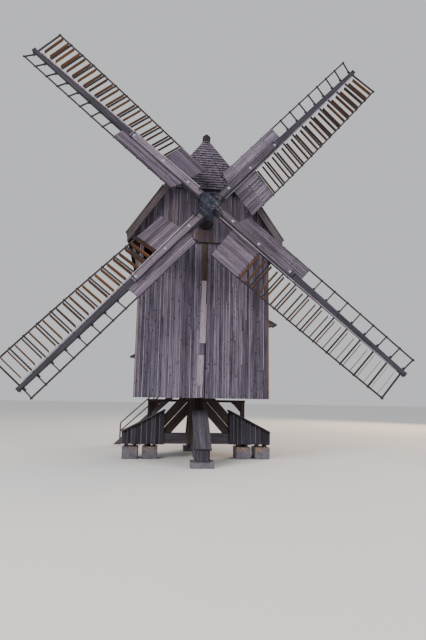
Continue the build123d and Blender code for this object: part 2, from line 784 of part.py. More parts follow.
def turned(number):
    """Turns something drawn along +X to the place of sail 0, 1, 2 or 3."""
    return Pos(0, stock_y(number % 2), 0) * Rot(0, -(REST_ANGLE + 90 * number), 0)


def taper(radius, root, tip):
    """A stock's size across, at a distance from the hub."""
    return root + (tip - root) * radius / SAIL_REACH


def stock_half_width(radius):
    return taper(radius, STOCK_ROOT, STOCK_TIP) / 2


def stock_half_depth(radius):
    return taper(radius, STOCK_DEPTH_ROOT, STOCK_DEPTH_TIP) / 2


def spindle(root, tip):
    """The outline of a timber that tapers from its middle to both ends."""
    return [(-SAIL_REACH, -tip / 2), (0, -root / 2), (SAIL_REACH, -tip / 2),
            (SAIL_REACH, tip / 2), (0, root / 2), (-SAIL_REACH, tip / 2)]


def stock(extra=0):
    """One long timber that carries two sails, thicker all round by extra."""
    wide = slab(spindle(STOCK_ROOT + 2 * extra, STOCK_TIP + 2 * extra), -STOCK_DEPTH_ROOT, 2 * STOCK_DEPTH_ROOT)
    deep = slab(spindle(STOCK_DEPTH_ROOT + 2 * extra, STOCK_DEPTH_TIP + 2 * extra), -STOCK_ROOT, 2 * STOCK_ROOT)
    return wide & (Rot(90, 0, 0) * deep)


def stock_plank():
    """The doubling plank on the front of a stock, from the hub outwards."""
    length = PLANK_REACH - PLANK_INNER
    angle = degrees(atan((STOCK_DEPTH_ROOT - STOCK_DEPTH_TIP) / 2 / SAIL_REACH))
    front = -STOCK_DEPTH_ROOT / 2 - PLANK_THICKNESS / 2 - RUNNING_GAP
    plank = Pos(PLANK_INNER + length / 2, 0, 0) * Box(length, PLANK_THICKNESS, PLANK_WIDTH)
    return Pos(0, front, 0) * Rot(0, 0, angle) * plank


def poll_end():
    """The casting that holds both stocks: two crossed sleeves with rims on a round flange."""
    casting = along_shaft(POLL_FLANGE, POLL_FRONT, POLL_LENGTH / 2)
    casting += along_shaft(POLL_BOSS, -POLL_FRONT - POLL_BOSS_DEPTH, 0)
    across = STOCK_ROOT + 2 * SLEEVE_WALL
    depth = STOCK_DEPTH_ROOT + 2 * SLEEVE_WALL
    for number in (0, 1):
        sleeve = Box(SLEEVE_LENGTH, depth, across)
        for end in (-1, 1):
            rim = Box(SLEEVE_RIM_LENGTH, depth + 2 * SLEEVE_RIM, across + 2 * SLEEVE_RIM)
            sleeve += Pos(end * (SLEEVE_LENGTH - SLEEVE_RIM_LENGTH) / 2, 0, 0) * rim
        casting += turned(number) * sleeve
    for number in (0, 1):
        casting = casting - turned(number) * stock()
    return casting


def strap(radius, over_plank):
    """An iron band round a stock, and round its doubling plank where over_plank is set."""
    width = 2 * stock_half_width(radius) + 2 * STRAP_THICKNESS
    back = stock_half_depth(radius) + STRAP_THICKNESS
    front = back + (PLANK_THICKNESS + 2 * RUNNING_GAP if over_plank else 0)
    half = STRAP_WIDTH / 2
    band = block((radius - half, radius + half), (-front, back), (-width / 2, width / 2)) - stock()
    if over_plank:
        band = band - stock_plank()
    return band


def sail_straps():
    return [strap(ROOT_STRAP, False), strap(PLANK_REACH - PLANK_STRAP_INSET, True),
            strap(SAIL_REACH - TIP_STRAP_INSET, False)]


# Striking gear, drawn for one sail along +X
def rod_point(radius):
    """The middle of the shutter rod, beside the stock's trailing edge."""
    return Vector(radius, ROD_SETBACK - stock_half_depth(radius), -stock_half_width(radius) - ROD_OFFSET)


def shutter_rod():
    """The long rod that moves a sail's shutters, with the staples that hold it to the stock."""
    end = bar_radius(0) - SHUTTER_FIRST * BAR_PITCH
    rod = beam(rod_point(ROCKER_RADIUS), rod_point(end), ROD_SIZE, ROD_SIZE, (0, 0, 1))
    for index in range(1, BAR_COUNT - 1, STAPLE_EVERY):
        radius = bar_radius(index) - BAR_PITCH / 2
        centre = rod_point(radius)
        rod += block((radius - STAPLE_LENGTH / 2, radius + STAPLE_LENGTH / 2),
                     (centre.Y - ROD_SIZE / 4, centre.Y + ROD_SIZE / 4),
                     (centre.Z, -stock_half_width(radius - STAPLE_LENGTH / 2) - RUNNING_GAP))
    return rod


def rocker(shift):
    """One arm of the spider's frame, its link and the rocker on the stock, shift behind the stock's middle."""
    plane = -(POLL_FRONT + SPIDER_AHEAD) - shift
    seat = -PLANK_FRONT - RUNNING_GAP
    arm = block((0, SPIDER_REACH), (plane, plane + SPIDER_PLATE), (-SPIDER_BAR / 2, SPIDER_BAR / 2))
    half = ROCKER_WIDTH / 2
    bar = block((ROCKER_RADIUS - half, ROCKER_RADIUS + half), (seat - ROCKER_WIDTH, seat),
                (-ROCKER_OUTER, -ROCKER_INNER))
    start = (SPIDER_REACH - SPIDER_BAR / 2, plane + SPIDER_PLATE / 2, 0)
    link = beam(start, (ROCKER_RADIUS, seat - half, -ROCKER_INNER - LINK), LINK, LINK, (0, 0, 1))
    rod = rod_point(ROCKER_RADIUS)
    pin = block((ROCKER_RADIUS - half, ROCKER_RADIUS + half), (seat - half, rod.Y - ROD_SIZE / 2 - RUNNING_GAP),
                (rod.Z - LINK / 2, rod.Z + LINK / 2))
    return arm + bar + link + pin


def spider():
    """The frame on the striking rod in front of the hub, with a link and a rocker for each sail."""
    plane = -(POLL_FRONT + SPIDER_AHEAD)
    rod_end = -POLL_FRONT - POLL_BOSS_DEPTH - RUNNING_GAP
    frame = along_shaft(SPIDER_HUB, plane - SPIDER_PLATE, plane + 2 * SPIDER_PLATE)
    frame += along_shaft(SPIDER_ROD, plane, rod_end)
    for number in range(SAIL_COUNT):
        frame += turned(number) * rocker(stock_y(number % 2))
        turn = Rot(0, -(REST_ANGLE + 90 * number), 0)
        frame += turn * beam((SPIDER_REACH, plane + SPIDER_PLATE / 2, 0), (0, plane + SPIDER_PLATE / 2, SPIDER_REACH),
                             SPIDER_PLATE, SPIDER_BAR, (0, 1, 0))
    return frame


# Sails, drawn along +X with the wide side towards -Z
def sail_twist(radius):
    """The sail's angle to the plane that it turns in, in degrees."""
    share = (SAIL_REACH - radius) / SAIL_REACH
    return TWIST_TIP + (TWIST_ROOT - TWIST_TIP) * share


def bar_radius(index):
    return SAIL_REACH - TIP_OVERHANG - index * BAR_PITCH


def wide_side(radius):
    """From the middle of the stock to the edge strip of the shuttered side, at a distance from the hub."""
    return taper(radius, WIDE_ROOT, WIDE_TIP)


def sail_point(radius, y, z):
    """A point at y and z in a section of the sail, which turns with the sail's twist."""
    angle = radians(sail_twist(radius))
    return Vector(radius, y * cos(angle) - z * sin(angle), y * sin(angle) + z * cos(angle))


def lath_lean(radius):
    """The angle of the front laths to the plane that the sail turns in, in degrees."""
    return taper(radius, LEAN_ROOT, LEAN_TIP)


def lath_point(radius, distance, lift=0):
    """A point of the leaning laths, at a distance from the stock's middle, or lifted off them to the front."""
    angle = radians(lath_lean(radius))
    run = distance - LATH_ROOT
    shift = Vector(0, -run * sin(angle) - lift * cos(angle), run * cos(angle) - lift * sin(angle))
    return sail_point(radius, 0, LATH_ROOT) + shift


def strip(start, end, width, thickness, lean):
    """A straight strip between two points, its width leaning forwards by an angle."""
    return beam(start, end, width, thickness, (0, -sin(radians(lean)), cos(radians(lean))))


def sail_bar(index):
    """One bar through the stock: long behind the shutters, a wedged stub and a leaning lath in front."""
    radius = bar_radius(index)
    half = SAIL_BAR_WIDTH / 2
    thick = (-SAIL_BAR_THICKNESS / 2, SAIL_BAR_THICKNESS / 2)
    bar = block((-half, half), thick, (-wide_side(radius) - BAR_POKE, STUB_REACH))
    outside = (stock_half_width(radius - half) + 2 * RUNNING_GAP) / cos(radians(sail_twist(radius)))
    bar += block((-half - STUB_WEDGE, 0), thick, (outside + STUB_WEDGE / 2, STUB_REACH))
    lath = beam(lath_point(radius, LATH_ROOT), lath_point(radius, NARROW_SIDE + BAR_POKE), LATH_WIDTH,
                SAIL_BAR_THICKNESS, (1, 0, 0))
    return Pos(radius, 0, 0) * Rot(sail_twist(radius), 0, 0) * bar + lath


def edge(place, lean):
    """An edge strip in straight lengths from bar to bar; its place and its lean follow the distance from the hub."""
    stops = [bar_radius(index) for index in range(BAR_COUNT)]
    stops[0] += SAIL_BAR_WIDTH
    stops[-1] -= SAIL_BAR_WIDTH
    return [strip(place(outer), place(inner), HEM_WIDTH, HEM_THICKNESS, lean((outer + inner) / 2))
            for outer, inner in zip(stops, stops[1:])]


def sail_frame():
    """Bars and the two long edge strips of one sail."""
    strips = edge(lambda radius: sail_point(radius, 0, -wide_side(radius)), sail_twist)
    strips += edge(lambda radius: lath_point(radius, NARROW_SIDE), lath_lean)
    return Part() + strips + [sail_bar(index) for index in range(BAR_COUNT)]


def sail_shutters():
    """The open shutters of the wide side, nearly edge-on to the wind."""
    shutters = []
    reach = SHUTTER_WIDTH / 2 * sin(radians(abs(SHUTTER_ANGLE))) + SHUTTER_THICKNESS / 2
    for bay in range(SHUTTERED_BAYS):
        for place in range(SHUTTERS_PER_BAY):
            radius = bar_radius(bay) - (SHUTTER_FIRST + place * SHUTTER_SPACING) * BAR_PITCH
            outer = wide_side(radius + reach) - HEM_WIDTH / 2 - 2 * RUNNING_GAP
            board = Box(SHUTTER_THICKNESS, SHUTTER_WIDTH, outer - SHUTTER_INSET)
            board = Pos(0, 0, -(outer + SHUTTER_INSET) / 2) * Rot(0, 0, SHUTTER_ANGLE) * board
            shutters.append(Pos(radius, 0, 0) * Rot(sail_twist(radius), 0, 0) * board)
    return shutters


def wide_boards():
    """The fixed boards between the shutters and the hub, on the front of the bars."""
    inner = bar_radius(BAR_COUNT - 1) - BOARD_OVERRUN
    outer = bar_radius(BAR_COUNT - 1 - WIDE_BOARDED_BAYS) + BOARD_LAP
    middle = (inner + outer) / 2
    width = (wide_side(middle) - WIDE_BOARDS_INSET) / WIDE_BOARDS - BOARD_GAP
    turn = abs(radians(sail_twist(inner) - sail_twist(middle)))
    seat = (SAIL_BAR_THICKNESS + SAIL_BOARD) / 2 + RUNNING_GAP + width / 2 * sin(turn)
    boards = []
    for index in range(WIDE_BOARDS):
        ends = []
        for radius in (inner, outer):
            across = WIDE_BOARDS_INSET + (wide_side(radius) - WIDE_BOARDS_INSET) * (index + 0.5) / WIDE_BOARDS
            slope = across * turn / (outer - middle)
            ends.append(sail_point(radius, -seat - SAIL_BAR_WIDTH / 2 * slope, -across))
        boards.append(strip(*ends, width, SAIL_BOARD, sail_twist(middle)))
    return boards


def narrow_boards():
    """The fixed boards beside the stock, on the front of the leaning laths."""
    inner = bar_radius(BAR_COUNT - 1) - BOARD_OVERRUN
    outer = bar_radius(BAR_COUNT - 1 - NARROW_BOARDED_BAYS) + BOARD_LAP
    middle = (inner + outer) / 2
    pitch = (NARROW_SIDE + HEM_WIDTH / 2 - NARROW_BOARDS_INSET) / NARROW_BOARDS
    width = pitch - BOARD_GAP
    turn = abs(radians(lath_lean(outer) - lath_lean(middle)))
    lift = (SAIL_BAR_THICKNESS + SAIL_BOARD) / 2 + 2 * RUNNING_GAP + width / 2 * sin(turn)
    boards = []
    for index in range(NARROW_BOARDS):
        place = NARROW_BOARDS_INSET + pitch * (index + 0.5)
        start = lath_point(inner + index * BOARD_STAGGER, place, lift)
        boards.append(strip(start, lath_point(outer, place, lift), width, SAIL_BOARD, lath_lean(middle)))
    return boards


def save_trestle():
    save(stone_blocks(), "stone_blocks")
    save(stone_pads(), "stone_pads")
    save(packing_timbers(), "packing_timbers")
    save(crosstree_upper(), "crosstree_upper")
    save(crosstree_lower(), "crosstree_lower")
    save(post(), "post")
    save(prop_beam(), "prop_beam")
    props = prop_posts()
    save(props, "prop_posts")
    upper = (UPPER_BEAM_BOTTOM, UPPER_BEAM_TOP)
    lower = (LOWER_BEAM_BOTTOM, LOWER_BEAM_TOP)
    for name, angle, (bottom, top) in (("right", 0, upper), ("rear", 90, lower),
                                       ("left", 180, upper), ("front", 270, lower)):
        turn = Rot(0, 0, angle)
        bars = quarter_bars(top)
        save(turn * Compound(bars), f"quarter_bars_{name}")
        cover = foot_cover(bottom, top)
        for bar in bars:
            cover = cover - bar
        save(turn * cover - props, f"foot_cover_{name}")


def save_house():
    slopes, hips = roof_parts()
    for side, name in SIDES:
        save(slopes[side], f"roof_{name}")
        save(side_wall(side), f"{name}_wall")
    for end, name in ENDS:
        save(hips[end], f"half_hip_{name}")
        save(gable(end), f"gable_{name}")
    save(Compound([window_leaf(side) for side, name in SIDES]), "window_shutters")
    save(Compound([window_hood(side) for side, name in SIDES]), "window_hoods")
    save(verge_boards(), "verge_boards")
    save(ridge_cap(), "ridge_cap")
    save(front_wall(), "front_wall")
    save(front_battens(), "front_batten")
    save(rear_wall(), "rear_wall")
    save(rear_door(), "rear_door")
    save(floor(), "floor")
    save(sheers(), "sheers")
    save(crown_tree(), "crown_tree")
    save(eave_brackets(), "eave_brackets")
    save(eave_soffits(), "eave_soffits")
    save(landing(), "landing")
    save(landing_rail(), "landing_rail")
    save(stringers(), "stair_stringers")
    save(treads(), "stair_treads")
    save(stair_rail(), "stair_rail")
    save(bearing_beam(WEATHER_BEAM_Y, WEATHER_BEAM_WIDTH, WEATHER_BEAM_DEPTH, SHAFT_DIAMETER), "weather_beam")
    save(bearing_beam(TAIL_BEAM_Y, TAIL_BEAM_WIDTH, TAIL_BEAM_DEPTH, JOURNAL), "tail_beam")


def save_rotor():
    place = rotor_place()
    save(place * windshaft(), "windshaft")
    save(place * poll_end(), "poll_end")
    save(place * spider(), "spider")
    frame = sail_frame()
    shutters = sail_shutters() + wide_boards() + narrow_boards()
    rod = shutter_rod()
    plank = stock_plank()
    straps = sail_straps()
    for number in range(SAIL_COUNT):
        spot = turned(number)
        save(place * spot * frame, f"sail_{number + 1}_frame")
        save(place * Compound([spot * piece for piece in shutters]), f"sail_{number + 1}_shutters")
    spots = [turned(number) for number in range(SAIL_COUNT)]
    save(place * Compound([spot * rod for spot in spots]), "shutter_rods")
    save(place * Compound([spot * plank for spot in spots]), "stock_planks")
    save(place * Compound([spot * piece for spot in spots for piece in straps]), "stock_clamps")
    mortised = stock() - frame - Rot(0, 180, 0) * frame
    for index, (end, name) in enumerate(ENDS):
        save(place * turned(index) * mortised, f"stock_{name}")


def main():
    os.makedirs("parts", exist_ok=True)
    save_trestle()
    save_house()
    save_rotor()


main()
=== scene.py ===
"""Dresses a timber post mill on its open trestle: boards, shingles, stones, ironwork and light."""

import json
import logging
import math
import random
from collections.abc import Callable, Iterator, Sequence
from contextlib import contextmanager
from dataclasses import dataclass, field, replace
from enum import Enum
from typing import ClassVar, NamedTuple

import bmesh
import bpy
import numpy as np
from mathutils import Matrix, Vector

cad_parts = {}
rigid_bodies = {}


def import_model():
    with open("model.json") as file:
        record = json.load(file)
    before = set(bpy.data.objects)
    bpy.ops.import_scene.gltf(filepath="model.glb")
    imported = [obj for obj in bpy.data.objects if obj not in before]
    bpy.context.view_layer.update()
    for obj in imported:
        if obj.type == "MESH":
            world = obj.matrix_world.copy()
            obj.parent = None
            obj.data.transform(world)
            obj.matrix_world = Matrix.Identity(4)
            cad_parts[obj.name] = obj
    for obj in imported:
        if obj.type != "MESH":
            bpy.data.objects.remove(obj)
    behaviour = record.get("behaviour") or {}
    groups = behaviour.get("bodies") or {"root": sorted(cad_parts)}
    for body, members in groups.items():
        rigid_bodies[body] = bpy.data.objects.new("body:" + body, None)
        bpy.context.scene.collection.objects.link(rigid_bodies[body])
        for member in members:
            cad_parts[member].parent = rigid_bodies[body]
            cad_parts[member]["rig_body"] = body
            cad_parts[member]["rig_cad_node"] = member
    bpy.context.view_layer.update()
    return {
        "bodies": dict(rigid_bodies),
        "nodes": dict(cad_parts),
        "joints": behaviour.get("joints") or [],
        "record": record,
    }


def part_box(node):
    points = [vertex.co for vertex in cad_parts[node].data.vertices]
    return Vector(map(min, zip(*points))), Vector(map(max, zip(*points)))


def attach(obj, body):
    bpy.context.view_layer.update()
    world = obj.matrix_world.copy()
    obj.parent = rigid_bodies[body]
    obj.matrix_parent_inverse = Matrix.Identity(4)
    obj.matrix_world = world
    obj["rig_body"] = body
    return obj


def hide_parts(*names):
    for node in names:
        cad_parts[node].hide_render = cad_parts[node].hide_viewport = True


log = logging.getLogger("post_mill")

Colour = tuple[float, float, float]
Point = tuple[float, float, float]
Pair = tuple[float, float]
Piece = bpy.types.Object
Socket = bpy.types.NodeSocket

X = Vector((1, 0, 0))
Y = Vector((0, 1, 0))
Z = Vector((0, 0, 1))

GRAIN_SPAN = 40  # the grain of each timber starts somewhere in a cube of this size
WELD_DISTANCE = 0.0001
FLAT_ANGLE = math.radians(0.2)
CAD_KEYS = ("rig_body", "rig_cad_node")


class Body(str, Enum):
    """The bodies that a piece can ride on."""

    TRESTLE = "trestle"
    HOUSE = "mill_house"
    SAILS = "sails"


class Slot(str, Enum):
    """The record's material slots."""

    STONE = "stone"
    IRON = "iron"
    BOARDS = "boards"
    SHINGLES = "shingles"
    OLD_TIMBER = "old_timber"
    LIGHT_TIMBER = "light_timber"
    SAIL_TIMBER = "sail_timber"
    SHUTTER_WOOD = "shutter_wood"


class Way(Enum):
    """A way along one axis, valued by its sign."""

    @property
    def word(self) -> str:
        """The name as the names of pieces have it."""
        return self.name.lower()


class End(Way):
    """The two ends of the house, by the sign of their Y."""

    FRONT = -1
    REAR = 1


class Side(Way):
    """The two long sides of the house, by the sign of their X."""

    LEFT = -1
    RIGHT = 1


def leaning(level: Vector, angle: float) -> Vector:
    """A level direction raised by an angle."""
    return level * math.cos(angle) + Z * math.sin(angle)


# Modelling


def deselect() -> None:
    """Leaves object mode clean: nothing selected."""
    if bpy.context.object and bpy.context.object.mode != "OBJECT":
        bpy.ops.object.mode_set(mode="OBJECT")
    for piece in list(bpy.context.selected_objects):
        piece.select_set(False)


def pick(piece: Piece) -> None:
    """Makes one piece the only selected and active one.

    Args:
        piece: the piece.
    """
    deselect()
    piece.select_set(True)
    bpy.context.view_layer.objects.active = piece


def settle(name: str) -> Piece:
    """Names the primitive that was just added, and puts its place, turn and size into its mesh.

    Args:
        name: the piece's name.

    Returns:
        The piece.
    """
    piece = bpy.context.object
    piece.name = name
    pick(piece)
    bpy.ops.object.transform_apply(location=True, rotation=True, scale=True)
    return piece


def cube(name: str, low: Sequence[float], high: Sequence[float]) -> Piece:
    """Adds a block between two corners, to be shaped further.

    Args:
        name: the piece's name.
        low: the lowest corner, in metres.
        high: the highest corner, in metres.

    Returns:
        The block, with its place in its mesh.
    """
    deselect()
    middle = [(a + b) / 2 for a, b in zip(low, high)]
    size = [b - a for a, b in zip(low, high)]
    bpy.ops.mesh.primitive_cube_add(size=1, location=middle, scale=size)
    return settle(name)


def rod(name: str, radius: float, start: Sequence[float], end: Sequence[float], sides: int) -> Piece:
    """Adds a round or many-sided bar between two points.

    Args:
        name: the piece's name.
        radius: in metres.
        start: the middle of one end.
        end: the middle of the other end.
        sides: how many flats it has.

    Returns:
        The bar, with its place in its mesh.
    """
    deselect()
    run = Vector(end) - Vector(start)
    bpy.ops.mesh.primitive_cylinder_add(vertices=sides, radius=radius, depth=run.length,
                                        location=(Vector(start) + Vector(end)) / 2,
                                        rotation=run.to_track_quat("Z", "Y").to_euler())
    return settle(name)


@contextmanager
def editing(piece: Piece, mode: str, action: str = "SELECT") -> Iterator[None]:
    """Holds one piece in edit mode, with all or nothing of it selected.

    Args:
        piece: the piece to edit.
        mode: what is selected: VERT, EDGE or FACE.
        action: SELECT for everything, DESELECT for nothing.
    """
    pick(piece)
    bpy.ops.object.mode_set(mode="EDIT")
    bpy.ops.mesh.select_mode(type=mode)
    bpy.ops.mesh.select_all(action=action)
    yield
    bpy.ops.object.mode_set(mode="OBJECT")


@contextmanager
def chosen_faces(piece: Piece, test: Callable[[Vector, Vector], bool]) -> Iterator[None]:
    """Holds one piece in edit mode, with the faces that pass a test selected.

    Args:
        piece: the piece to edit.
        test: takes a face's middle and normal and says whether it is chosen.
    """
    with editing(piece, "FACE", "DESELECT"):
        mesh = bmesh.from_edit_mesh(piece.data)
        for face in mesh.faces:
            face.select_set(test(face.calc_center_median(), face.normal))
        bmesh.update_edit_mesh(piece.data)
        yield


def ease_edges(piece: Piece, width: float, test: Callable[[Vector, Vector], bool] | None = None,
               segments: int = 1) -> None:
    """Bevels the chosen edges of a piece.

    Args:
        piece: the piece to bevel.
        width: the bevel's width, in metres.
        test: chooses the edges by their two ends; all are taken without it.
        segments: how many faces round the bevel.
    """
    with editing(piece, "EDGE", "DESELECT"):
        mesh = bmesh.from_edit_mesh(piece.data)
        for edge in mesh.edges:
            edge.select_set(test is None or test(edge.verts[0].co, edge.verts[1].co))
        bmesh.update_edit_mesh(piece.data)
        bpy.ops.mesh.bevel(offset=width, segments=segments, affect="EDGES")


def trim(piece: Piece, point: Sequence[float], normal: Sequence[float]) -> None:
    """Cuts away what lies on the normal's side of a plane, and closes the cut.

    Args:
        piece: the piece to cut.
        point: a point on the plane.
        normal: points to the side that goes.
    """
    with editing(piece, "VERT"):
        bpy.ops.mesh.bisect(plane_co=point, plane_no=normal, use_fill=True, clear_outer=True)


def join(pieces: Sequence[Piece], name: str) -> Piece:
    """Makes several pieces one.

    Args:
        pieces: what is joined.
        name: the name of the whole.

    Returns:
        The joined piece.
    """
    pick(pieces[0])
    for piece in pieces[1:]:
        piece.select_set(True)
    bpy.ops.object.join()
    pieces[0].name = name
    pieces[0].data.name = name
    return pieces[0]


def discard(piece: Piece) -> None:
    """Deletes a piece and its mesh.

    Args:
        piece: a pattern or a cutter that has done its work.
    """
    mesh = piece.data
    bpy.data.objects.remove(piece)
    bpy.data.meshes.remove(mesh)


class Place(NamedTuple):
    """Where one copy of a pattern piece goes. The pattern lies along X, is wide along Y and faces Z."""

    at: Vector
    along: Vector
    out: Vector
    size: Point = (1.0, 1.0, 1.0)

    def matrix(self) -> Matrix:
        """Works out the copy's turn and place, without its size.

        Returns:
            The matrix.
        """
        along = self.along.normalized()
        across = self.out.cross(along).normalized()
        out = along.cross(across)
        return Matrix.Translation(self.at) @ Matrix((along, across, out)).transposed().to_4x4()


def grain_shift(chance: random.Random) -> np.ndarray:
    """Where one timber's grain starts, so that no two timbers look alike."""
    return np.array([chance.uniform(0, GRAIN_SPAN) for _ in range(3)])


def lay(name: str, pattern: Piece, places: Sequence[Place], seed: int,
        tones: Sequence[float] | None = None) -> Piece:
    """Copies a modelled pattern piece to many places, as one piece, and deletes the pattern.

    Each copy keeps its own grain space and its own tone, which the wood and metal finishes read.

    Args:
        name: the new piece's name.
        pattern: the piece that is copied.
        places: where the copies go.
        seed: makes the grain and the tones the same each run.
        tones: one tone from 0 to 1 for each copy, or random ones.

    Returns:
        The new piece, at the origin.
    """
    chance = random.Random(seed)
    local = np.array([point.co for point in pattern.data.vertices])
    faces = [tuple(face.vertices) for face in pattern.data.polygons]
    discard(pattern)
    points, loops, grain, tone = [], [], [], []
    for index, place in enumerate(places):
        sized = local * np.array(place.size)
        matrix = np.array(place.matrix())
        points.append(sized @ matrix[:3, :3].T + matrix[:3, 3])
        loops.extend(tuple(corner + index * len(local) for corner in face) for face in faces)
        grain.append(sized + grain_shift(chance))
        tone.append(tones[index] if tones else chance.random())
    mesh = bpy.data.meshes.new(name)
    mesh.from_pydata(np.concatenate(points).tolist(), [], loops)
    grain_layer = mesh.attributes.new("grain", "FLOAT_VECTOR", "POINT")
    grain_layer.data.foreach_set("vector", np.concatenate(grain).ravel())
    for key, values in (("tone", np.repeat(tone, len(local))),
                        ("along", np.tile(local[:, 0], len(places)))):
        mesh.attributes.new(key, "FLOAT", "POINT").data.foreach_set("value", values)
    piece = bpy.data.objects.new(name, mesh)
    bpy.context.scene.collection.objects.link(piece)
    return piece


def lay_boards(name: str, places: Sequence[Place], seed: int,
               tones: Sequence[float] | None = None) -> Piece:
    """Lays sawn boards with their two front edges worn, as one piece.

    Args:
        name: the new piece's name.
        places: where the boards go, with their length, width and thickness as sizes.
        seed: makes the grain and the tones the same each run.
        tones: one tone from 0 to 1 for each board, or random ones.

    Returns:
        The boards.
    """
    width, thickness, worn = 0.15, 0.02, 0.004
    board = cube("board_pattern", (-0.5, -0.5, -0.5), (0.5, 0.5, 0.5))
    board.data.transform(Matrix.Diagonal((1, width, thickness, 1)))
    ease_edges(board, worn, lambda a, b: a.z > 0.009 and b.z > 0.009 and abs(a.x - b.x) > 0.5)
    board.data.transform(Matrix.Diagonal((1, 1 / width, 1 / thickness, 1)))
    return lay(name, board, places, seed, tones)


def timbers_of(mesh: bmesh.types.BMesh) -> list[list[bmesh.types.BMVert]]:
    """Parts a mesh into its separate timbers.

    Args:
        mesh: the mesh.

    Returns:
        The points of each timber.
    """
    seen, found = set(), []
    for start in mesh.verts:
        if start in seen:
            continue
        timber, stack = [], [start]
        seen.add(start)
        while stack:
            vertex = stack.pop()
            timber.append(vertex)
            for edge in vertex.link_edges:
                other = edge.other_vert(vertex)
                if other not in seen:
                    seen.add(other)
                    stack.append(other)
        found.append(timber)
    return found


def own_axes(timber: Sequence[bmesh.types.BMVert]) -> tuple[np.ndarray, np.ndarray, np.ndarray]:
    """Finds which way a timber lies.

    Args:
        timber: its points.

    Returns:
        Its middle, its length, width and thickness directions, and its points along them.
    """
    cloud = np.array([vertex.co for vertex in timber])
    middle = cloud.mean(axis=0)
    axes = np.linalg.svd(cloud - middle, full_matrices=False)[2]
    return middle, axes, (cloud - middle) @ axes.T


def take_copy(name: str, node: Piece, keep: Callable[[float], bool] | None = None, seed: int = 1) -> Piece:
    """Copies a CAD node and gives each of its timbers a grain space along its own length.

    Args:
        name: the new piece's name.
        node: the CAD node, which stays as it is.
        keep: takes a timber's length in metres and says whether it stays in the copy.
        seed: makes the grain and the tones the same each run.

    Returns:
        The welded copy, with its grain and tone written on it.
    """
    chance = random.Random(seed)
    piece = node.copy()
    piece.data = node.data.copy()
    piece.parent = None
    piece.hide_viewport = False
    piece.hide_render = False
    for key in CAD_KEYS:
        if key in piece:
            del piece[key]
    piece.name = name
    piece.data.name = name
    bpy.context.scene.collection.objects.link(piece)
    with editing(piece, "VERT"):
        bpy.ops.mesh.remove_doubles(threshold=WELD_DISTANCE)
        bpy.ops.mesh.dissolve_limited(angle_limit=FLAT_ANGLE)
    mesh = bmesh.new()
    mesh.from_mesh(piece.data)
    grain = mesh.verts.layers.float_vector.new("grain")
    tone = mesh.verts.layers.float.new("tone")
    dropped = []
    for timber in timbers_of(mesh):
        own = own_axes(timber)[2]
        if keep and not keep(float(np.ptp(own[:, 0]))):
            dropped.extend(timber)
            continue
        shift = grain_shift(chance)
        value = chance.random()
        for vertex, place in zip(timber, own + shift):
            vertex[grain] = Vector(place)
            vertex[tone] = value
    bmesh.ops.delete(mesh, geom=dropped, context="VERTS")
    mesh.to_mesh(piece.data)
    mesh.free()
    return piece


# Finishes


class Nodes:
    """Short ways to add and join shader nodes in one tree."""

    def __init__(self, tree: bpy.types.NodeTree) -> None:
        """Keeps the tree that the nodes go into."""
        self.tree = tree

    def put(self, socket: Socket, value: object) -> None:
        """Fills one input.

        Args:
            socket: the input.
            value: a socket to link from, a colour of three numbers, or what the input takes.
        """
        if isinstance(value, Socket):
            self.tree.links.new(value, socket)
        else:
            socket.default_value = (*value, 1.0) if socket.type == "RGBA" else value

    def wire(self, node: bpy.types.Node, **inputs: object) -> bpy.types.Node:
        """Fills a node's inputs by name.

        Args:
            node: the node.
            **inputs: what goes in; a name that isn't an input is set on the node itself.

        Returns:
            The node.
        """
        for key, value in inputs.items():
            name = key.replace("_", " ")
            if name in node.inputs:
                self.put(node.inputs[name], value)
            else:
                setattr(node, key, value)
        return node

    def add(self, kind: str, **inputs: object) -> bpy.types.Node:
        """Adds a shader node and fills its inputs."""
        return self.wire(self.tree.nodes.new("ShaderNode" + kind), **inputs)

    def math(self, operation: str, *values: object) -> Socket:
        """Works out a Math node.

        Args:
            operation: the node's operation.
            *values: up to three numbers or sockets.

        Returns:
            The result.
        """
        node = self.add("Math", operation=operation)
        for socket, value in zip(node.inputs, values):
            self.put(socket, value)
        return node.outputs[0]

    def times(self, first: object, second: object) -> Socket:
        """Two values multiplied."""
        return self.math("MULTIPLY", first, second)

    def plus(self, first: object, second: object) -> Socket:
        """Two values added."""
        return self.math("ADD", first, second)

    def minus(self, first: object, second: object) -> Socket:
        """The second value taken from the first."""
        return self.math("SUBTRACT", first, second)

    def place(self) -> Socket:
        """The place in the object."""
        return self.add("TexCoord").outputs["Object"]

    def stretch(self, vector: Socket, size: Point) -> Socket:
        """Multiplies a vector by a size along each axis.

        Args:
            vector: the vector.
            size: the size along each axis.

        Returns:
            The stretched vector.
        """
        node = self.add("VectorMath", operation="MULTIPLY", Vector=vector)
        node.inputs[1].default_value = size
        return node.outputs[0]

    def noise(self, vector: Socket, size: Point, detail: float) -> Socket:
        """Soft noise from 0 to 1 on a stretched vector."""
        return self.add("TexNoise", Vector=self.stretch(vector, size), Scale=1.0, Detail=detail,
                        Roughness=0.55).outputs["Fac"]

    def ramp(self, value: object, low: float, high: float, to_low: float = 0.0,
             to_high: float = 1.0) -> Socket:
        """A value stretched from one range to another, and held inside it."""
        return self.add("MapRange", clamp=True, Value=value, From_Min=low, From_Max=high, To_Min=to_low,
                        To_Max=to_high).outputs["Result"]

    def mix(self, share: object, first: object, second: object, blend: str = "MIX") -> Socket:
        """Mixes two colours.

        Args:
            share: how much of the second one there is.
            first: one colour.
            second: the other colour.
            blend: how they are mixed.

        Returns:
            The mixed colour.
        """
        node = self.add("Mix", data_type="RGBA", blend_type=blend)
        for index, value in ((0, share), (6, first), (7, second)):
            self.put(node.inputs[index], value)
        return node.outputs[2]


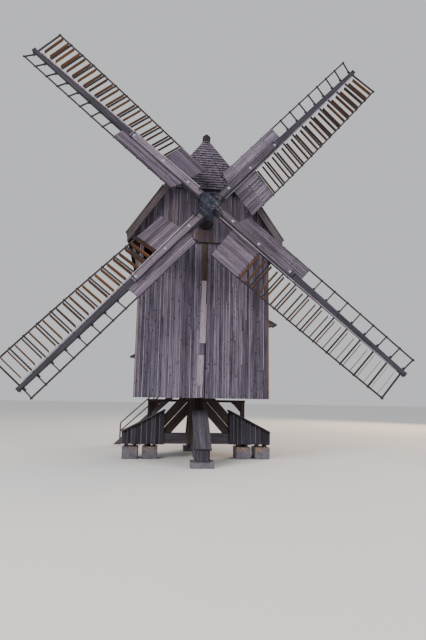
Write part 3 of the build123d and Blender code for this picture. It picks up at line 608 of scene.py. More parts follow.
class Effect(Nodes):
    """A shader node group that gives a colour, a roughness and a height that change over the surface."""

    def __init__(self, name: str, **inputs: object) -> None:
        """Starts the group.

        Args:
            name: the group's name.
            **inputs: the default of each input beside the vector, a number or a colour.
        """
        super().__init__(bpy.data.node_groups.new(name, "ShaderNodeTree"))
        new_socket = self.tree.interface.new_socket
        new_socket("Vector", in_out="INPUT", socket_type="NodeSocketVector")
        for key, value in inputs.items():
            kind = "NodeSocketColor" if isinstance(value, tuple) else "NodeSocketFloat"
            self.put(new_socket(key.replace("_", " "), in_out="INPUT", socket_type=kind), value)
        for key, kind in (("Color", "Color"), ("Roughness", "Float"), ("Height", "Float")):
            new_socket(key, in_out="OUTPUT", socket_type="NodeSocket" + kind)
        self.given = self.tree.nodes.new("NodeGroupInput").outputs

    def put(self, socket: Socket, value: object) -> None:
        """Fills an input of a node, or the default of one of the group's own inputs.

        Args:
            socket: the input.
            value: a socket to link from, a colour of three numbers, or what the input takes.
        """
        if isinstance(socket, bpy.types.NodeTreeInterfaceSocket):
            socket.default_value = (*value, 1.0) if isinstance(value, tuple) else value
        else:
            super().put(socket, value)

    def finish(self, colour: Socket, roughness: Socket, height: Socket) -> None:
        """Leads the results out of the group."""
        self.wire(self.tree.nodes.new("NodeGroupOutput"), Color=colour, Roughness=roughness, Height=height)


# How often each pattern of the wood repeats in a metre, along, across and through the grain.
STREAK_SIZE = (0.9, 20, 20)
FIBRE_SIZE = (3.0, 130, 130)
PATCH_SIZE = (0.5, 1.6, 1.6)
CRACK_SIZE = (0.55, 34, 34)
KNOT_SIZE = (4.4, 8.6, 8.6)
STAIN_SIZE = (0.4, 5, 5)
HOLLOW_COLOUR = (0.012, 0.010, 0.012)


def weathered_wood() -> None:
    """Builds the effect of grey weathered wood: streaks, fibres, cracks, knots and worn tone.

    Its vector is in metres, with X along the grain.
    """
    wood = Effect("weathered_wood", Tone=0.5, Light=(0.5, 0.5, 0.5), Dark=(0.1, 0.1, 0.1),
                  Stain=(0.2, 0.12, 0.06), Stain_Share=0.2, Tone_Share=0.5, Cracks=0.6, Knots=0.6)
    given, vector = wood.given, wood.given["Vector"]
    streak = wood.ramp(wood.noise(vector, STREAK_SIZE, 4), 0.34, 0.66)
    fibre = wood.noise(vector, FIBRE_SIZE, 2)
    patch = wood.ramp(wood.noise(vector, PATCH_SIZE, 2), 0.3, 0.7)
    line = wood.math("ABSOLUTE", wood.minus(wood.noise(vector, CRACK_SIZE, 2), 0.5))
    crack = wood.times(wood.ramp(line, 0.0, 0.022, 1.0, 0.0), given["Cracks"])
    cells = wood.add("TexVoronoi", Vector=wood.stretch(vector, KNOT_SIZE), Scale=1.0, Randomness=1.0)
    chosen = wood.add("SeparateColor", Color=cells.outputs["Color"]).outputs[0]
    knot = wood.times(wood.ramp(cells.outputs["Distance"], 0.14, 0.24, 1.0, 0.0),
                      wood.math("GREATER_THAN", chosen, 0.35))
    knot = wood.times(knot, given["Knots"])
    level = wood.plus(wood.times(streak, 0.42), wood.times(patch, 0.22))
    level = wood.plus(level, wood.times(wood.minus(fibre, 0.5), 0.35))
    level = wood.plus(level, wood.times(wood.minus(given["Tone"], 0.35), given["Tone Share"]))
    colour = wood.mix(wood.ramp(level, 0.0, 0.85), given["Dark"], given["Light"])
    brown = wood.ramp(wood.noise(vector, STAIN_SIZE, 3), 0.56, 0.74)
    colour = wood.mix(wood.times(brown, given["Stain Share"]), colour, given["Stain"])
    colour = wood.mix(wood.math("MAXIMUM", crack, knot), colour, HOLLOW_COLOUR)
    height = wood.minus(wood.plus(wood.times(streak, 0.5), wood.times(fibre, 0.5)), crack)
    wood.finish(colour, wood.ramp(streak, 0, 1, 0.92, 0.74), height)


def patina() -> None:
    """Builds the effect of old painted and rusted metal or stone: patches of two colours and specks.

    Its vector is in metres.
    """
    skin = Effect("patina", Base=(0.1, 0.1, 0.1), Patch=(0.2, 0.1, 0.05), Patch_Share=0.3,
                  Speck=(0.3, 0.3, 0.3), Speck_Share=0.2, Scale=6.0)
    given = skin.given
    sized = skin.add("VectorMath", operation="SCALE", Vector=given["Vector"], Scale=given["Scale"])
    vector = sized.outputs[0]
    patch = skin.ramp(skin.noise(vector, (1, 1, 1), 5), 0.48, 0.66)
    grit = skin.noise(vector, (9, 9, 9), 3)
    speck = skin.ramp(skin.noise(vector, (3.1, 3.1, 3.1), 4), 0.58, 0.68)
    colour = skin.mix(skin.times(patch, given["Patch Share"]), given["Base"], given["Patch"])
    colour = skin.mix(skin.times(speck, given["Speck Share"]), colour, given["Speck"])
    shade = skin.ramp(grit, 0.3, 0.7, 0.72, 1.12)
    grey = skin.add("CombineColor", Red=shade, Green=shade, Blue=shade).outputs[0]
    colour = skin.mix(1.0, colour, grey, "MULTIPLY")
    height = skin.plus(skin.times(grit, 0.5), skin.times(patch, 0.5))
    skin.finish(colour, skin.ramp(patch, 0, 1, 0.55, 0.85), height)


def new_material(name: str) -> tuple[bpy.types.Material, Nodes, bpy.types.Node]:
    """Starts a material.

    Args:
        name: its name.

    Returns:
        The material, its nodes and its shader.
    """
    material = bpy.data.materials.new(name)
    material.use_nodes = True
    return material, Nodes(material.node_tree), material.node_tree.nodes["Principled BSDF"]


@dataclass(frozen=True)
class Finish:
    """What every finish has: its name, and a way from its effect to the shader."""

    name: str

    def tint(self, nodes: Nodes, colour: Socket) -> Socket:
        """The colour as it is; a finish with a pattern of its own adds it here."""
        return colour

    def lead(self, nodes: Nodes, shader: bpy.types.Node, effect: bpy.types.Node, strength: float,
             depth: float) -> None:
        """Leads an effect into the shader, its height through a bump.

        Args:
            nodes: the material's nodes.
            shader: the material's shader.
            effect: the group node.
            strength: the bump's strength.
            depth: the bump's depth, in metres.
        """
        bump = nodes.add("Bump", Height=effect.outputs["Height"], Strength=strength, Distance=depth)
        nodes.wire(shader, Base_Color=self.tint(nodes, effect.outputs["Color"]),
                   Roughness=effect.outputs["Roughness"], Normal=bump.outputs["Normal"])


@dataclass(frozen=True)
class Wood(Finish):
    """One weathered wood finish."""

    light: Colour
    dark: Colour
    stain: Colour = (0.16, 0.09, 0.05)
    stain_share: float = 0.25
    tone_share: float = 0.6
    cracks: float = 0.7
    knots: float = 0.5
    bump: float = 0.006
    specular: float = 0.25
    grain_start: Point = (3.7, 1.3, 8.1)

    def material(self, along: Vector | None = None, suffix: str = "") -> bpy.types.Material:
        """Builds the material.

        Args:
            along: the grain's direction in the object, or nothing where it is written on the piece.
            suffix: added to the name, to tell directions apart.

        Returns:
            The material.
        """
        material, nodes, shader = new_material(self.name + suffix)
        nodes.wire(shader, Specular_IOR_Level=self.specular)
        effect = nodes.add("Group", node_tree=bpy.data.node_groups["weathered_wood"], Light=self.light,
                           Dark=self.dark, Stain=self.stain, Stain_Share=self.stain_share,
                           Tone_Share=self.tone_share, Cracks=self.cracks, Knots=self.knots)
        if along is None:
            grain = nodes.add("Attribute", attribute_name="grain").outputs["Vector"]
            tone = nodes.add("Attribute", attribute_name="tone").outputs["Fac"]
            nodes.wire(effect, Vector=grain, Tone=tone)
        else:
            turn = along.rotation_difference(X).to_euler("XYZ")
            grain = nodes.add("Mapping", Vector=nodes.place(), Rotation=turn, Location=self.grain_start)
            nodes.wire(effect, Vector=grain.outputs["Vector"])
        self.lead(nodes, shader, effect, 0.7, self.bump)
        return material


@dataclass(frozen=True)
class ShingleWood(Wood):
    """Wood of shingles: worn pale at the butt, with painted shade under the course above."""

    butt: Colour = (0.27, 0.225, 0.28)
    shade: Colour = (0.012, 0.011, 0.018)

    def tint(self, nodes: Nodes, colour: Socket) -> Socket:
        """Adds the pale butt and the band of painted shade by the place along the shingle.

        Args:
            nodes: the material's nodes.
            colour: the wood's colour.

        Returns:
            The colour with both.
        """
        along = nodes.add("Attribute", attribute_name="along").outputs["Fac"]
        # painted shade: each shingle darkens towards where the next course's butt lies over it
        course_shade = nodes.times(nodes.ramp(along, -0.16, 0.08), 0.88)
        worn = nodes.times(nodes.ramp(along, -0.28, -0.42), 0.55)
        return nodes.mix(worn, nodes.mix(course_shade, colour, self.shade), self.butt)


@dataclass(frozen=True)
class GableWood(Wood):
    """Gable boards, with brown grease run down them below the shaft, and painted shade under the shaft."""

    grease: Colour = (0.13, 0.065, 0.02)
    soot: Colour = (0.02, 0.017, 0.022)

    def tint(self, nodes: Nodes, colour: Socket) -> Socket:
        """Adds the runs and the painted shade by the place in the object.

        Args:
            nodes: the material's nodes.
            colour: the wood's colour.

        Returns:
            The colour with the runs and the painted shade.
        """
        place = nodes.place()
        split = nodes.add("SeparateXYZ", Vector=place).outputs
        near = nodes.ramp(nodes.math("ABSOLUTE", split["X"]), 0.25, 0.60, 1.0, 0.0)
        below = nodes.times(near, nodes.ramp(split["Z"], 9.15, 9.6, 1.0, 0.0))
        runs = nodes.ramp(nodes.noise(place, (16, 16, 1.3), 3), 0.50, 0.64)
        # painted shade: the boards below the shaft and poll end darken towards near-black
        in_shade = nodes.mix(nodes.times(below, 0.45), colour, self.soot)
        return nodes.mix(nodes.times(below, runs), in_shade, self.grease)


@dataclass(frozen=True)
class Patina(Finish):
    """One stone or metal finish."""

    base: Colour
    patch: Colour
    speck: Colour
    patch_share: float = 0.4
    speck_share: float = 0.2
    scale: float = 6.0
    metallic: float = 0.0
    bump: float = 0.004

    def material(self) -> bpy.types.Material:
        """Builds the material, which reads the place in the object.

        Returns:
            The material.
        """
        material, nodes, shader = new_material(self.name)
        nodes.wire(shader, Metallic=self.metallic)
        effect = nodes.add("Group", node_tree=bpy.data.node_groups["patina"], Vector=nodes.place(),
                           Base=self.base, Patch=self.patch, Patch_Share=self.patch_share,
                           Speck=self.speck, Speck_Share=self.speck_share, Scale=self.scale)
        self.lead(nodes, shader, effect, 0.8, self.bump)
        return material


@dataclass(frozen=True)
class LichenStone(Patina):
    """Pale stone with orange lichen towards its top."""

    lichen: Colour = (0.42, 0.20, 0.04)

    def tint(self, nodes: Nodes, colour: Socket) -> Socket:
        """Adds the lichen by the place in the object.

        Args:
            nodes: the material's nodes.
            colour: the stone's colour.

        Returns:
            The colour with the lichen.
        """
        place = nodes.place()
        high = nodes.ramp(nodes.add("SeparateXYZ", Vector=place).outputs["Z"], 0.22, 0.47)
        spots = nodes.ramp(nodes.noise(place, (11, 11, 11), 5), 0.52, 0.60)
        areas = nodes.ramp(nodes.noise(place, (1.1, 1.1, 1.1), 2), 0.45, 0.56)
        return nodes.mix(nodes.times(nodes.times(high, spots), areas), colour, self.lichen)


WALL = Wood("wall_boards", (0.205, 0.170, 0.235), (0.034, 0.030, 0.043), (0.10, 0.07, 0.06), 0.2, 0.4,
            knots=0.9)
GABLE = GableWood("gable_boards", (0.19, 0.158, 0.208), (0.040, 0.034, 0.048), (0.17, 0.10, 0.05), 0.4, 0.5)
# pale joint strips: weathered, and partly a painted highlight standing for the lit edges of the boards
STRIP = Wood("joint_strips", (0.43, 0.36, 0.44), (0.17, 0.14, 0.175), tone_share=0.4, knots=0.3)
# near-black backing: painted shade, seen through the gaps between boards and shingles and in the breast's
# corner gap
SHADE_BACKING = Wood("wall_backing", (0.03, 0.026, 0.032), (0.010, 0.009, 0.011), cracks=0.2)
PANEL = Wood("sail_boards", (0.225, 0.180, 0.245), (0.050, 0.040, 0.054), (0.2, 0.14, 0.1), 0.12, 0.5)
# darker copy of the sail boards for the upper left sail: painted shade against the key light on it
SHADED_UPPER_PANEL = replace(PANEL, light=(0.170, 0.135, 0.188), dark=(0.040, 0.032, 0.043))
STOCK = Wood("stock_timber", (0.062, 0.056, 0.075), (0.019, 0.018, 0.024), (0.08, 0.05, 0.03), 0.25)
PLANK = Wood("doubling_plank", (0.210, 0.172, 0.218), (0.045, 0.037, 0.048), (0.18, 0.12, 0.09), 0.12)
BARS = Wood("sail_bars", (0.044, 0.039, 0.047), (0.014, 0.012, 0.015), (0.13, 0.06, 0.02), 0.3)
LEAVES = Wood("shutter_leaves", (0.15, 0.066, 0.025), (0.034, 0.018, 0.012), (0.32, 0.12, 0.022), 0.6,
              cracks=0.3, knots=0.2)
SHINGLE = ShingleWood("shingles", (0.19, 0.158, 0.21), (0.045, 0.038, 0.053), (0.12, 0.08, 0.06), 0.15, 0.8,
                      knots=0.2)
OAK = Wood("dark_oak", (0.085, 0.06, 0.052), (0.018, 0.014, 0.014), (0.15, 0.07, 0.03), 0.4)
# near-black so that the windshaft reads as painted shade before the gable; the ridge boxes use it too
SHAFT = Wood("shaft_oak", (0.045, 0.038, 0.045), (0.012, 0.010, 0.013), (0.07, 0.04, 0.03), 0.3)
GREY_OAK = Wood("grey_oak", (0.15, 0.13, 0.155), (0.036, 0.031, 0.038), (0.11, 0.065, 0.045), 0.3)
LIGHT = Wood("light_timber", (0.40, 0.325, 0.385), (0.13, 0.105, 0.13), (0.22, 0.15, 0.11), 0.2)
# dark boards, darkened further as painted shade of the house over the trestle
COVER = Wood("cover_boards", (0.074, 0.067, 0.088), (0.018, 0.016, 0.022), (0.07, 0.045, 0.035), 0.25, 0.6)
COVER_STRIP = Wood("cover_strips", (0.24, 0.205, 0.25), (0.09, 0.076, 0.095), tone_share=0.4, knots=0.3)
# darkened below the copings' pale wood: painted shade of the house over the trestle; the ridge boards use it
# too
COPING = Wood("coping_boards", (0.135, 0.118, 0.145), (0.022, 0.019, 0.025), (0.10, 0.065, 0.045), 0.3, 0.4)
BARGE = Wood("barge_boards", (0.125, 0.10, 0.112), (0.036, 0.030, 0.034), (0.13, 0.07, 0.035), 0.5)
# reddish-brown, partly a painted warm rim light along the house's corners
CORNER = Wood("corner_boards", (0.22, 0.125, 0.08), (0.05, 0.030, 0.022), (0.32, 0.14, 0.05), 0.5)
BROWN = Wood("brown_strip", (0.12, 0.085, 0.07), (0.022, 0.018, 0.018), (0.16, 0.085, 0.04), 0.4, knots=0.9)
# darkened below the stone's pale pinkish grey: painted shade of the house over the trestle
STONE = LichenStone("sandstone", (0.150, 0.135, 0.165), (0.085, 0.076, 0.095), (0.21, 0.19, 0.23), 0.6, 0.5,
                    5.0, bump=0.01)
IRON = Patina("cast_iron", (0.052, 0.060, 0.100), (0.085, 0.055, 0.05), (0.16, 0.185, 0.26), 0.3, 0.4, 9.0,
              0.2)
DARK_IRON = replace(IRON, name="forged_iron", base=(0.010, 0.012, 0.021), patch=(0.022, 0.015, 0.012),
                    speck=(0.03, 0.036, 0.055), metallic=0.1)
ZINC = Patina("bolt_heads", (0.42, 0.50, 0.56), (0.22, 0.24, 0.27), (0.60, 0.68, 0.72), 0.3, 0.3, 30.0, 0.5)
NAIL = Patina("nail_heads", (0.03, 0.02, 0.02), (0.08, 0.035, 0.02), (0.10, 0.06, 0.05), 0.5, 0.3, 40.0, 0.3)


# Shared by the sub-assemblies


def dress(piece: Piece, material: bpy.types.Material) -> None:
    """Gives a piece one material."""
    piece.data.materials.clear()
    piece.data.materials.append(material)


class SubAssembly:
    """What every sub-assembly has: the body that carries it, and a way to hand its pieces over."""

    body: ClassVar[Body] = Body.HOUSE

    def hand_over(self, piece: Piece, material: bpy.types.Material, slot: Slot, *replaced: str) -> None:
        """Dresses a finished piece, lets it ride on the body, and reports it.

        Args:
            piece: the finished piece.
            material: its material.
            slot: the record's slot for its finish; not used.
            *replaced: the CAD nodes that it stands for.
        """
        dress(piece, material)
        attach(piece, self.body.value)
        if replaced:
            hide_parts(*replaced)
        log.info("%s: %d faces on %s", piece.name, len(piece.data.polygons), self.body.value)


def board_widths(start: float, end: float, narrow: float, wide: float, chance: random.Random) -> list[Pair]:
    """Fills a stretch with boards of uneven width.

    Args:
        start: where the first board begins.
        end: where the last board ends.
        narrow: the least width.
        wide: the greatest width.
        chance: the source of the widths.

    Returns:
        The start and end of each board.
    """
    sliver = narrow * 0.6
    edges = [start]
    while edges[-1] < end - wide:
        edges.append(edges[-1] + chance.uniform(narrow, wide))
    if end - edges[-1] < sliver and len(edges) > 1:
        edges[-1] = end
    else:
        edges.append(end)
    return list(zip(edges[:-1], edges[1:]))


class Oblong(NamedTuple):
    """An upright board or opening in a face: its start and end across, its foot and its head."""

    start: float
    end: float
    foot: float
    head: float

    def mirrored(self) -> "Oblong":
        """The same oblong, counted the other way across."""
        return Oblong(-self.end, -self.start, self.foot, self.head)

    def around(self, hole: "Oblong") -> list["Oblong"]:
        """Cuts a board at an opening.

        Args:
            hole: the opening.

        Returns:
            What is left of the board below and above it.
        """
        beside = self.end <= hole.start or self.start >= hole.end
        if beside or self.head <= hole.foot or self.foot >= hole.head:
            return [self]
        below = [self._replace(head=hole.foot)] if self.foot < hole.foot else []
        above = [self._replace(foot=hole.head)] if self.head > hole.head else []
        return below + above


@dataclass(frozen=True)
class RoofPlane:
    """One plane of the roof: a point on its eave, its outward normal and the way up it."""

    point: Vector
    normal: Vector
    up: Vector

    @property
    def across(self) -> Vector:
        """The level direction in the plane."""
        return self.normal.cross(self.up).normalized()

    def lowered(self, depth: float) -> "RoofPlane":
        """The same plane, a depth further in."""
        return replace(self, point=self.point - self.normal * depth)

    def covers(self, point: Vector) -> bool:
        """Whether a point lies inside the plane."""
        return (point - self.point).dot(self.normal) < 0

    def trim(self, piece: Piece) -> None:
        """Cuts away what a piece has outside the plane."""
        trim(piece, self.point, self.normal)


@dataclass
class House:
    """Sizes of the house that several sub-assemblies share, in metres and radians."""

    half_width: float = 2.6
    front: float = -2.4
    rear: float = 4.3
    bottom: float = 2.53
    eave_height: float = 8.93
    eave_x: float = 3.12
    slope: float = math.radians(56.5)
    roof_thickness: float = 0.14
    verge_front: float = -2.8
    verge_rear: float = 4.7
    hip_drop: float = 2.66
    hip_slope: float = math.radians(73.0)
    gable_foot: float = 8.80
    gable_step: float = 0.11
    left_window: Oblong = Oblong(1.7, 2.25, 3.78, 4.33)
    right_window: Oblong = Oblong(-1.85, -1.3, 4.95, 5.50)
    door: Oblong = Oblong(0.125, 1.075, 3.5, 5.45)

    @property
    def ridge(self) -> float:
        """The height of the ridge."""
        return self.eave_height + self.eave_x * math.tan(self.slope)

    @property
    def hip_eave(self) -> float:
        """The height of the half-hips' lower edge."""
        return self.ridge - self.hip_drop

    def window(self, side: Side) -> Oblong:
        """One side wall's window, from its front edge to its rear edge."""
        return self.left_window if side is Side.LEFT else self.right_window

    def slope_plane(self, side: Side) -> RoofPlane:
        """Gives one roof slope.

        Args:
            side: the side that it faces.

        Returns:
            Its plane.
        """
        sin, cos = math.sin(self.slope), math.cos(self.slope)
        return RoofPlane(Vector((side.value * self.eave_x, 0, self.eave_height)),
                         Vector((side.value * sin, 0, cos)), Vector((-side.value * cos, 0, sin)))

    def hip_plane(self, end: End) -> RoofPlane:
        """Gives one half-hip.

        Args:
            end: the end that it faces.

        Returns:
            Its plane.
        """
        sin, cos = math.sin(self.hip_slope), math.cos(self.hip_slope)
        verge = self.verge_front if end is End.FRONT else self.verge_rear
        return RoofPlane(Vector((0, verge, self.hip_eave)), Vector((0, end.value * sin, cos)),
                         Vector((0, -end.value * cos, sin)))


SHAFT_TILT = math.radians(5.7)
HUB = Vector((0, -3.9, 9.73))


def shaft_point(behind: float) -> Vector:
    """A point on the windshaft's axis, a distance behind the hub."""
    return HUB + leaning(Y, -SHAFT_TILT) * behind


# The house


@dataclass(frozen=True)
class Face:
    """One outer face of the house that boards go on."""

    name: str
    level: float
    out: Vector
    seed: int
    strip_seed: int
    finish: Wood = WALL
    planes: tuple[RoofPlane, ...] = ()
    shaft: bool = False


@dataclass
class WallBoards(SubAssembly):
    """The upright boards of the four walls and both gables, on cores set back behind them."""

    frame: dict
    house: House
    thickness: float = 0.022
    thickness_shares: Pair = (0.72, 0.98)
    narrow: float = 0.115
    wide: float = 0.165
    gap: float = 0.010
    joined_share: float = 0.22
    strip_size: Pair = (0.023, 0.007)
    strip_share: float = 0.42
    strip_starts: tuple[float, ...] = (0.0, 0.0, 0.25, 0.5)
    strip_least: float = 0.6
    strip_lean: float = 0.0015
    seam: float = 0.065
    seam_width: float = 0.048
    seam_clear: float = 0.2
    foot_drift: Pair = (-0.008, 0.012)
    butt_gap: float = 0.004
    corner_gap: Oblong = Oblong(-2.45, -2.15, 8.0, 8.7)
    ragged: float = 0.03
    corner_head: float = 7.74
    corner_size: Pair = (0.13, 0.045)
    corner_inset: float = 0.067
    gable_reach: float = 2.98
    gable_head: float = 12.29
    gable_widths: Pair = (0.09, 0.17)
    gable_drift: float = 0.012
    under_roof: float = 0.002
    shaft_hole: float = 0.28
    shaft_reach: Pair = (0.9, 2.1)
    shaft_sides: int = 32
    nail_rows: tuple[float, ...] = (3.5, 4.6, 5.76, 7.2, 9.6, 10.4, 11.2)
    nail_edge: float = 0.07
    nail_clear: float = 0.3
    nail_share: float = 0.3
    nail_drift: float = 0.015
    seed: int = 11
    nails: list[Place] = field(default_factory=list)

    def core(self, node: str) -> None:
        """Copies a wall with its outer faces set back, so that the boards have room in it.

        Args:
            node: the wall's CAD node.
        """
        house = self.house
        core = take_copy(node + "_backing", self.frame["nodes"][node])
        for vertex in core.data.vertices:
            point = vertex.co
            if abs(point.x) > house.half_width - 0.001:
                point.x = math.copysign(house.half_width - self.thickness, point.x)
            for level, inward in ((house.front, 1), (house.rear, -1), (house.front - house.gable_step, 1),
                                  (house.rear + house.gable_step, -1)):
                if abs(point.y - level) < 0.001:
                    point.y = level + inward * self.thickness
        # the core's near-black colour is painted shade behind the boards
        self.hand_over(core, SHADE_BACKING.material(), Slot.BOARDS, node)

    def upright(self, face: Face, runs: Sequence[Oblong]) -> Piece:
        """Lays upright boards side by side on one face, and notes where their nails go.

        Args:
            face: the face.
            runs: its boards.

        Returns:
            The boards as one piece.
        """
        chance = random.Random(face.seed)
        across = Z.cross(face.out)
        places, tones = [], []
        for start, end, foot, head in runs:
            width = end - start - self.gap
            thick = self.thickness * chance.uniform(*self.thickness_shares)
            middle = across * ((start + end) / 2) + Z * ((foot + head) / 2)
            middle += face.out * (face.level - self.thickness + thick / 2)
            places.append(Place(middle, Z, face.out, (head - foot, width, thick)))
            tones.append(chance.random())
            rows = [foot + self.nail_edge, head - self.nail_edge]
            rows += [row for row in self.nail_rows if foot + self.nail_clear < row < head - self.nail_clear]
            surface = face.out * (face.level - self.thickness + thick)
            for row in rows:
                for share in (-self.nail_share, self.nail_share):
                    height = row + chance.uniform(-self.nail_drift, self.nail_drift)
                    shift = across * ((start + end) / 2 + share * width) + Z * height
                    self.nails.append(Place(surface + shift, Z, face.out))
        return lay_boards(face.name + "_boards", places, face.seed, tones)

    def strips(self, face: Face, runs: Sequence[Oblong]) -> Piece:
        """Nails pale strips over some of the joints of a face, and none beside the breast's seam.

        Args:
            face: the face.
            runs: its boards.

        Returns:
            The strips as one piece.
        """
        chance = random.Random(face.strip_seed)
        across = Z.cross(face.out)
        places = []
        for start, _, foot, head in runs:
            clear = abs(start - self.seam - self.seam_width) > self.seam_clear
            if chance.random() < self.strip_share and head - foot > self.strip_least and clear:
                low = foot + chance.choice(self.strip_starts) * (head - foot)
                middle = across * start + Z * ((low + head) / 2) + face.out * (face.level + 0.003)
                along = (Z + across * chance.uniform(-self.strip_lean, self.strip_lean)).normalized()
                places.append(Place(middle, along, face.out, (head - low, *self.strip_size)))
        return lay_boards(face.name + "_strips", places, face.strip_seed)

    def clad(self, face: Face, runs: Sequence[Oblong]) -> None:
        """Lays a face's boards and strips, cuts them to its outline and hands them over.

        Args:
            face: the face.
            runs: its boards.
        """
        boards, strips = self.upright(face, runs), self.strips(face, runs)
        for piece, finish in ((boards, face.finish), (strips, STRIP)):
            for plane in face.planes:
                plane.lowered(self.house.roof_thickness + self.under_roof).trim(piece)
            if face.shaft:
                self.open_for_shaft(piece)
            suffix = "_" + face.name.removesuffix("_wall")
            self.hand_over(piece, finish.material(suffix=suffix), Slot.BOARDS)

    def open_for_shaft(self, piece: Piece) -> None:
        """Cuts the round opening for the windshaft.

        Args:
            piece: the boards or strips that it goes through.
        """
        start, end = (shaft_point(behind) for behind in self.shaft_reach)
        cutter = rod("shaft_cutter", self.shaft_hole, start, end, self.shaft_sides)
        pick(piece)
        modifier = piece.modifiers.new("Opening", "BOOLEAN")
        modifier.object = cutter
        modifier.solver = "EXACT"
        bpy.ops.object.modifier_apply(modifier=modifier.name)
        discard(cutter)

    def runs(self, edges: Sequence[Pair], head: float, chance: random.Random, joints: Sequence[float],
             hole: Oblong | None = None) -> list[Oblong]:
        """Gives boards their foot and head, with a butt joint in some of them, and cuts them at an opening.

        Args:
            edges: start and end across of each board.
            head: the upper edge of the wall.
            chance: the source of the choice.
            joints: heights at which a board may be joined.
            hole: the opening.

        Returns:
            The boards.
        """
        runs = []
        for start, end in edges:
            foot = self.house.bottom + chance.uniform(*self.foot_drift)
            joint = chance.choice(joints)
            if chance.random() < self.joined_share:
                runs += [Oblong(start, end, foot, joint - self.butt_gap), Oblong(start, end, joint, head)]
            else:
                runs.append(Oblong(start, end, foot, head))
        return [part for run in runs for part in run.around(hole)] if hole else runs

    def front(self) -> None:
        """The breast, whose boards leave a seam in the middle and a ragged gap in one upper corner."""
        house = self.house
        chance = random.Random(self.seed)
        edges = board_widths(-house.half_width, self.seam, self.narrow, self.wide, chance)
        edges += board_widths(self.seam + self.seam_width, house.half_width, self.narrow, self.wide, chance)
        runs = []
        for run in self.runs(edges, house.gable_foot, chance, (5.2, 6.35, 7.1)):
            parts = run.around(self.corner_gap)
            if len(parts) > 1:
                torn = self.corner_gap.foot + chance.uniform(-self.ragged, self.ragged)
                parts[0] = parts[0]._replace(head=torn)
            runs += parts
        self.clad(Face("front_wall", -house.front, -Y, self.seed, self.seed + 60), runs)

    def side(self, side: Side) -> None:
        """One long wall, with its corner boards, and its boards cut round the window.

        Args:
            side: which wall.
        """
        house, flip = self.house, side.value
        chance = random.Random(self.seed + flip)
        head = house.eave_height + (house.eave_x - house.half_width) * math.tan(house.slope)
        low, high = sorted(flip * y for y in (house.front + self.thickness, house.rear - self.thickness))
        hole = house.window(side)
        edges = board_widths(low, high, self.narrow, self.wide, chance)
        runs = self.runs(edges, head, chance, (5.4, 6.2, 7.4), hole.mirrored() if flip < 0 else hole)
        self.corners(side)
        self.clad(Face(side.word + "_wall", house.half_width, X * flip, self.seed + 5 + flip,
                       self.seed + 62 + flip, planes=(house.slope_plane(side),)), runs)

    def corners(self, side: Side) -> None:
        """Nails a corner board on each end of one long wall, up to the eaves boarding.

        Args:
            side: which wall.
        """
        house = self.house
        width, thickness = self.corner_size
        x = side.value * (house.half_width + thickness / 2)
        places = [Place(Vector((x, y, (house.bottom + self.corner_head) / 2)), Z, X * side.value,
                        (self.corner_head - house.bottom, width, thickness))
                  for y in (house.front + self.corner_inset, house.rear - self.corner_inset)]
        boards = lay_boards(side.word + "_corner_boards", places, self.seed + 90 + side.value)
        self.hand_over(boards, CORNER.material(suffix="_" + side.word), Slot.BOARDS)

    def rear(self) -> None:
        """The rear wall, with its boards cut round the door."""
        house = self.house
        chance = random.Random(self.seed + 7)
        edges = board_widths(-house.half_width, house.half_width, self.narrow, self.wide, chance)
        runs = self.runs(edges, house.gable_foot, chance, (5.6, 6.4), house.door.mirrored())
        self.clad(Face("rear_wall", house.rear, Y, self.seed + 8, self.seed + 66), runs)

    def gable(self, end: End) -> None:
        """One gable's boards, cut off under the roof, and at the front round the shaft.

        Args:
            end: which gable.
        """
        house, sign = self.house, end.value
        chance = random.Random(self.seed + 20 + sign)
        edges = board_widths(-self.gable_reach, self.gable_reach, *self.gable_widths, chance)
        runs = [Oblong(start, stop, house.gable_foot - chance.uniform(0.0, self.gable_drift), self.gable_head)
                for start, stop in edges]
        level = abs(house.front if end is End.FRONT else house.rear) + house.gable_step
        planes = (*(house.slope_plane(side) for side in Side), house.hip_plane(end))
        self.clad(Face("gable_" + end.word, level, Y * sign, self.seed + 30 + sign, self.seed + 70 + sign,
                       GABLE, planes, end is End.FRONT), runs)

    def set_nails(self) -> None:
        """Sets a small forged nail head at every place that was kept, under the roof."""
        nail = rod("nail_pattern", 0.008, (0, 0, -0.004), (0, 0, 0.0035), 6)
        ease_edges(nail, 0.0025, lambda a, b: a.z > 0.003 and b.z > 0.003)
        house = self.house
        planes = [plane.lowered(house.roof_thickness + 0.03) for plane in
                  (*(house.slope_plane(side) for side in Side), *(house.hip_plane(end) for end in End))]
        kept = [place for place in self.nails if all(plane.covers(place.at) for plane in planes)]
        nails = lay("board_nails", nail, kept, self.seed + 80)
        self.hand_over(nails, NAIL.material(), Slot.IRON)

    def build(self) -> None:
        """Builds the cores, the boards and the nails of every wall and both gables."""
        for node in ("front_wall", "rear_wall", "left_wall", "right_wall", "gable_front", "gable_rear"):
            self.core(node)
        self.front()
        for side in Side:
            self.side(side)
        self.rear()
        for end in End:
            self.gable(end)
        self.set_nails()


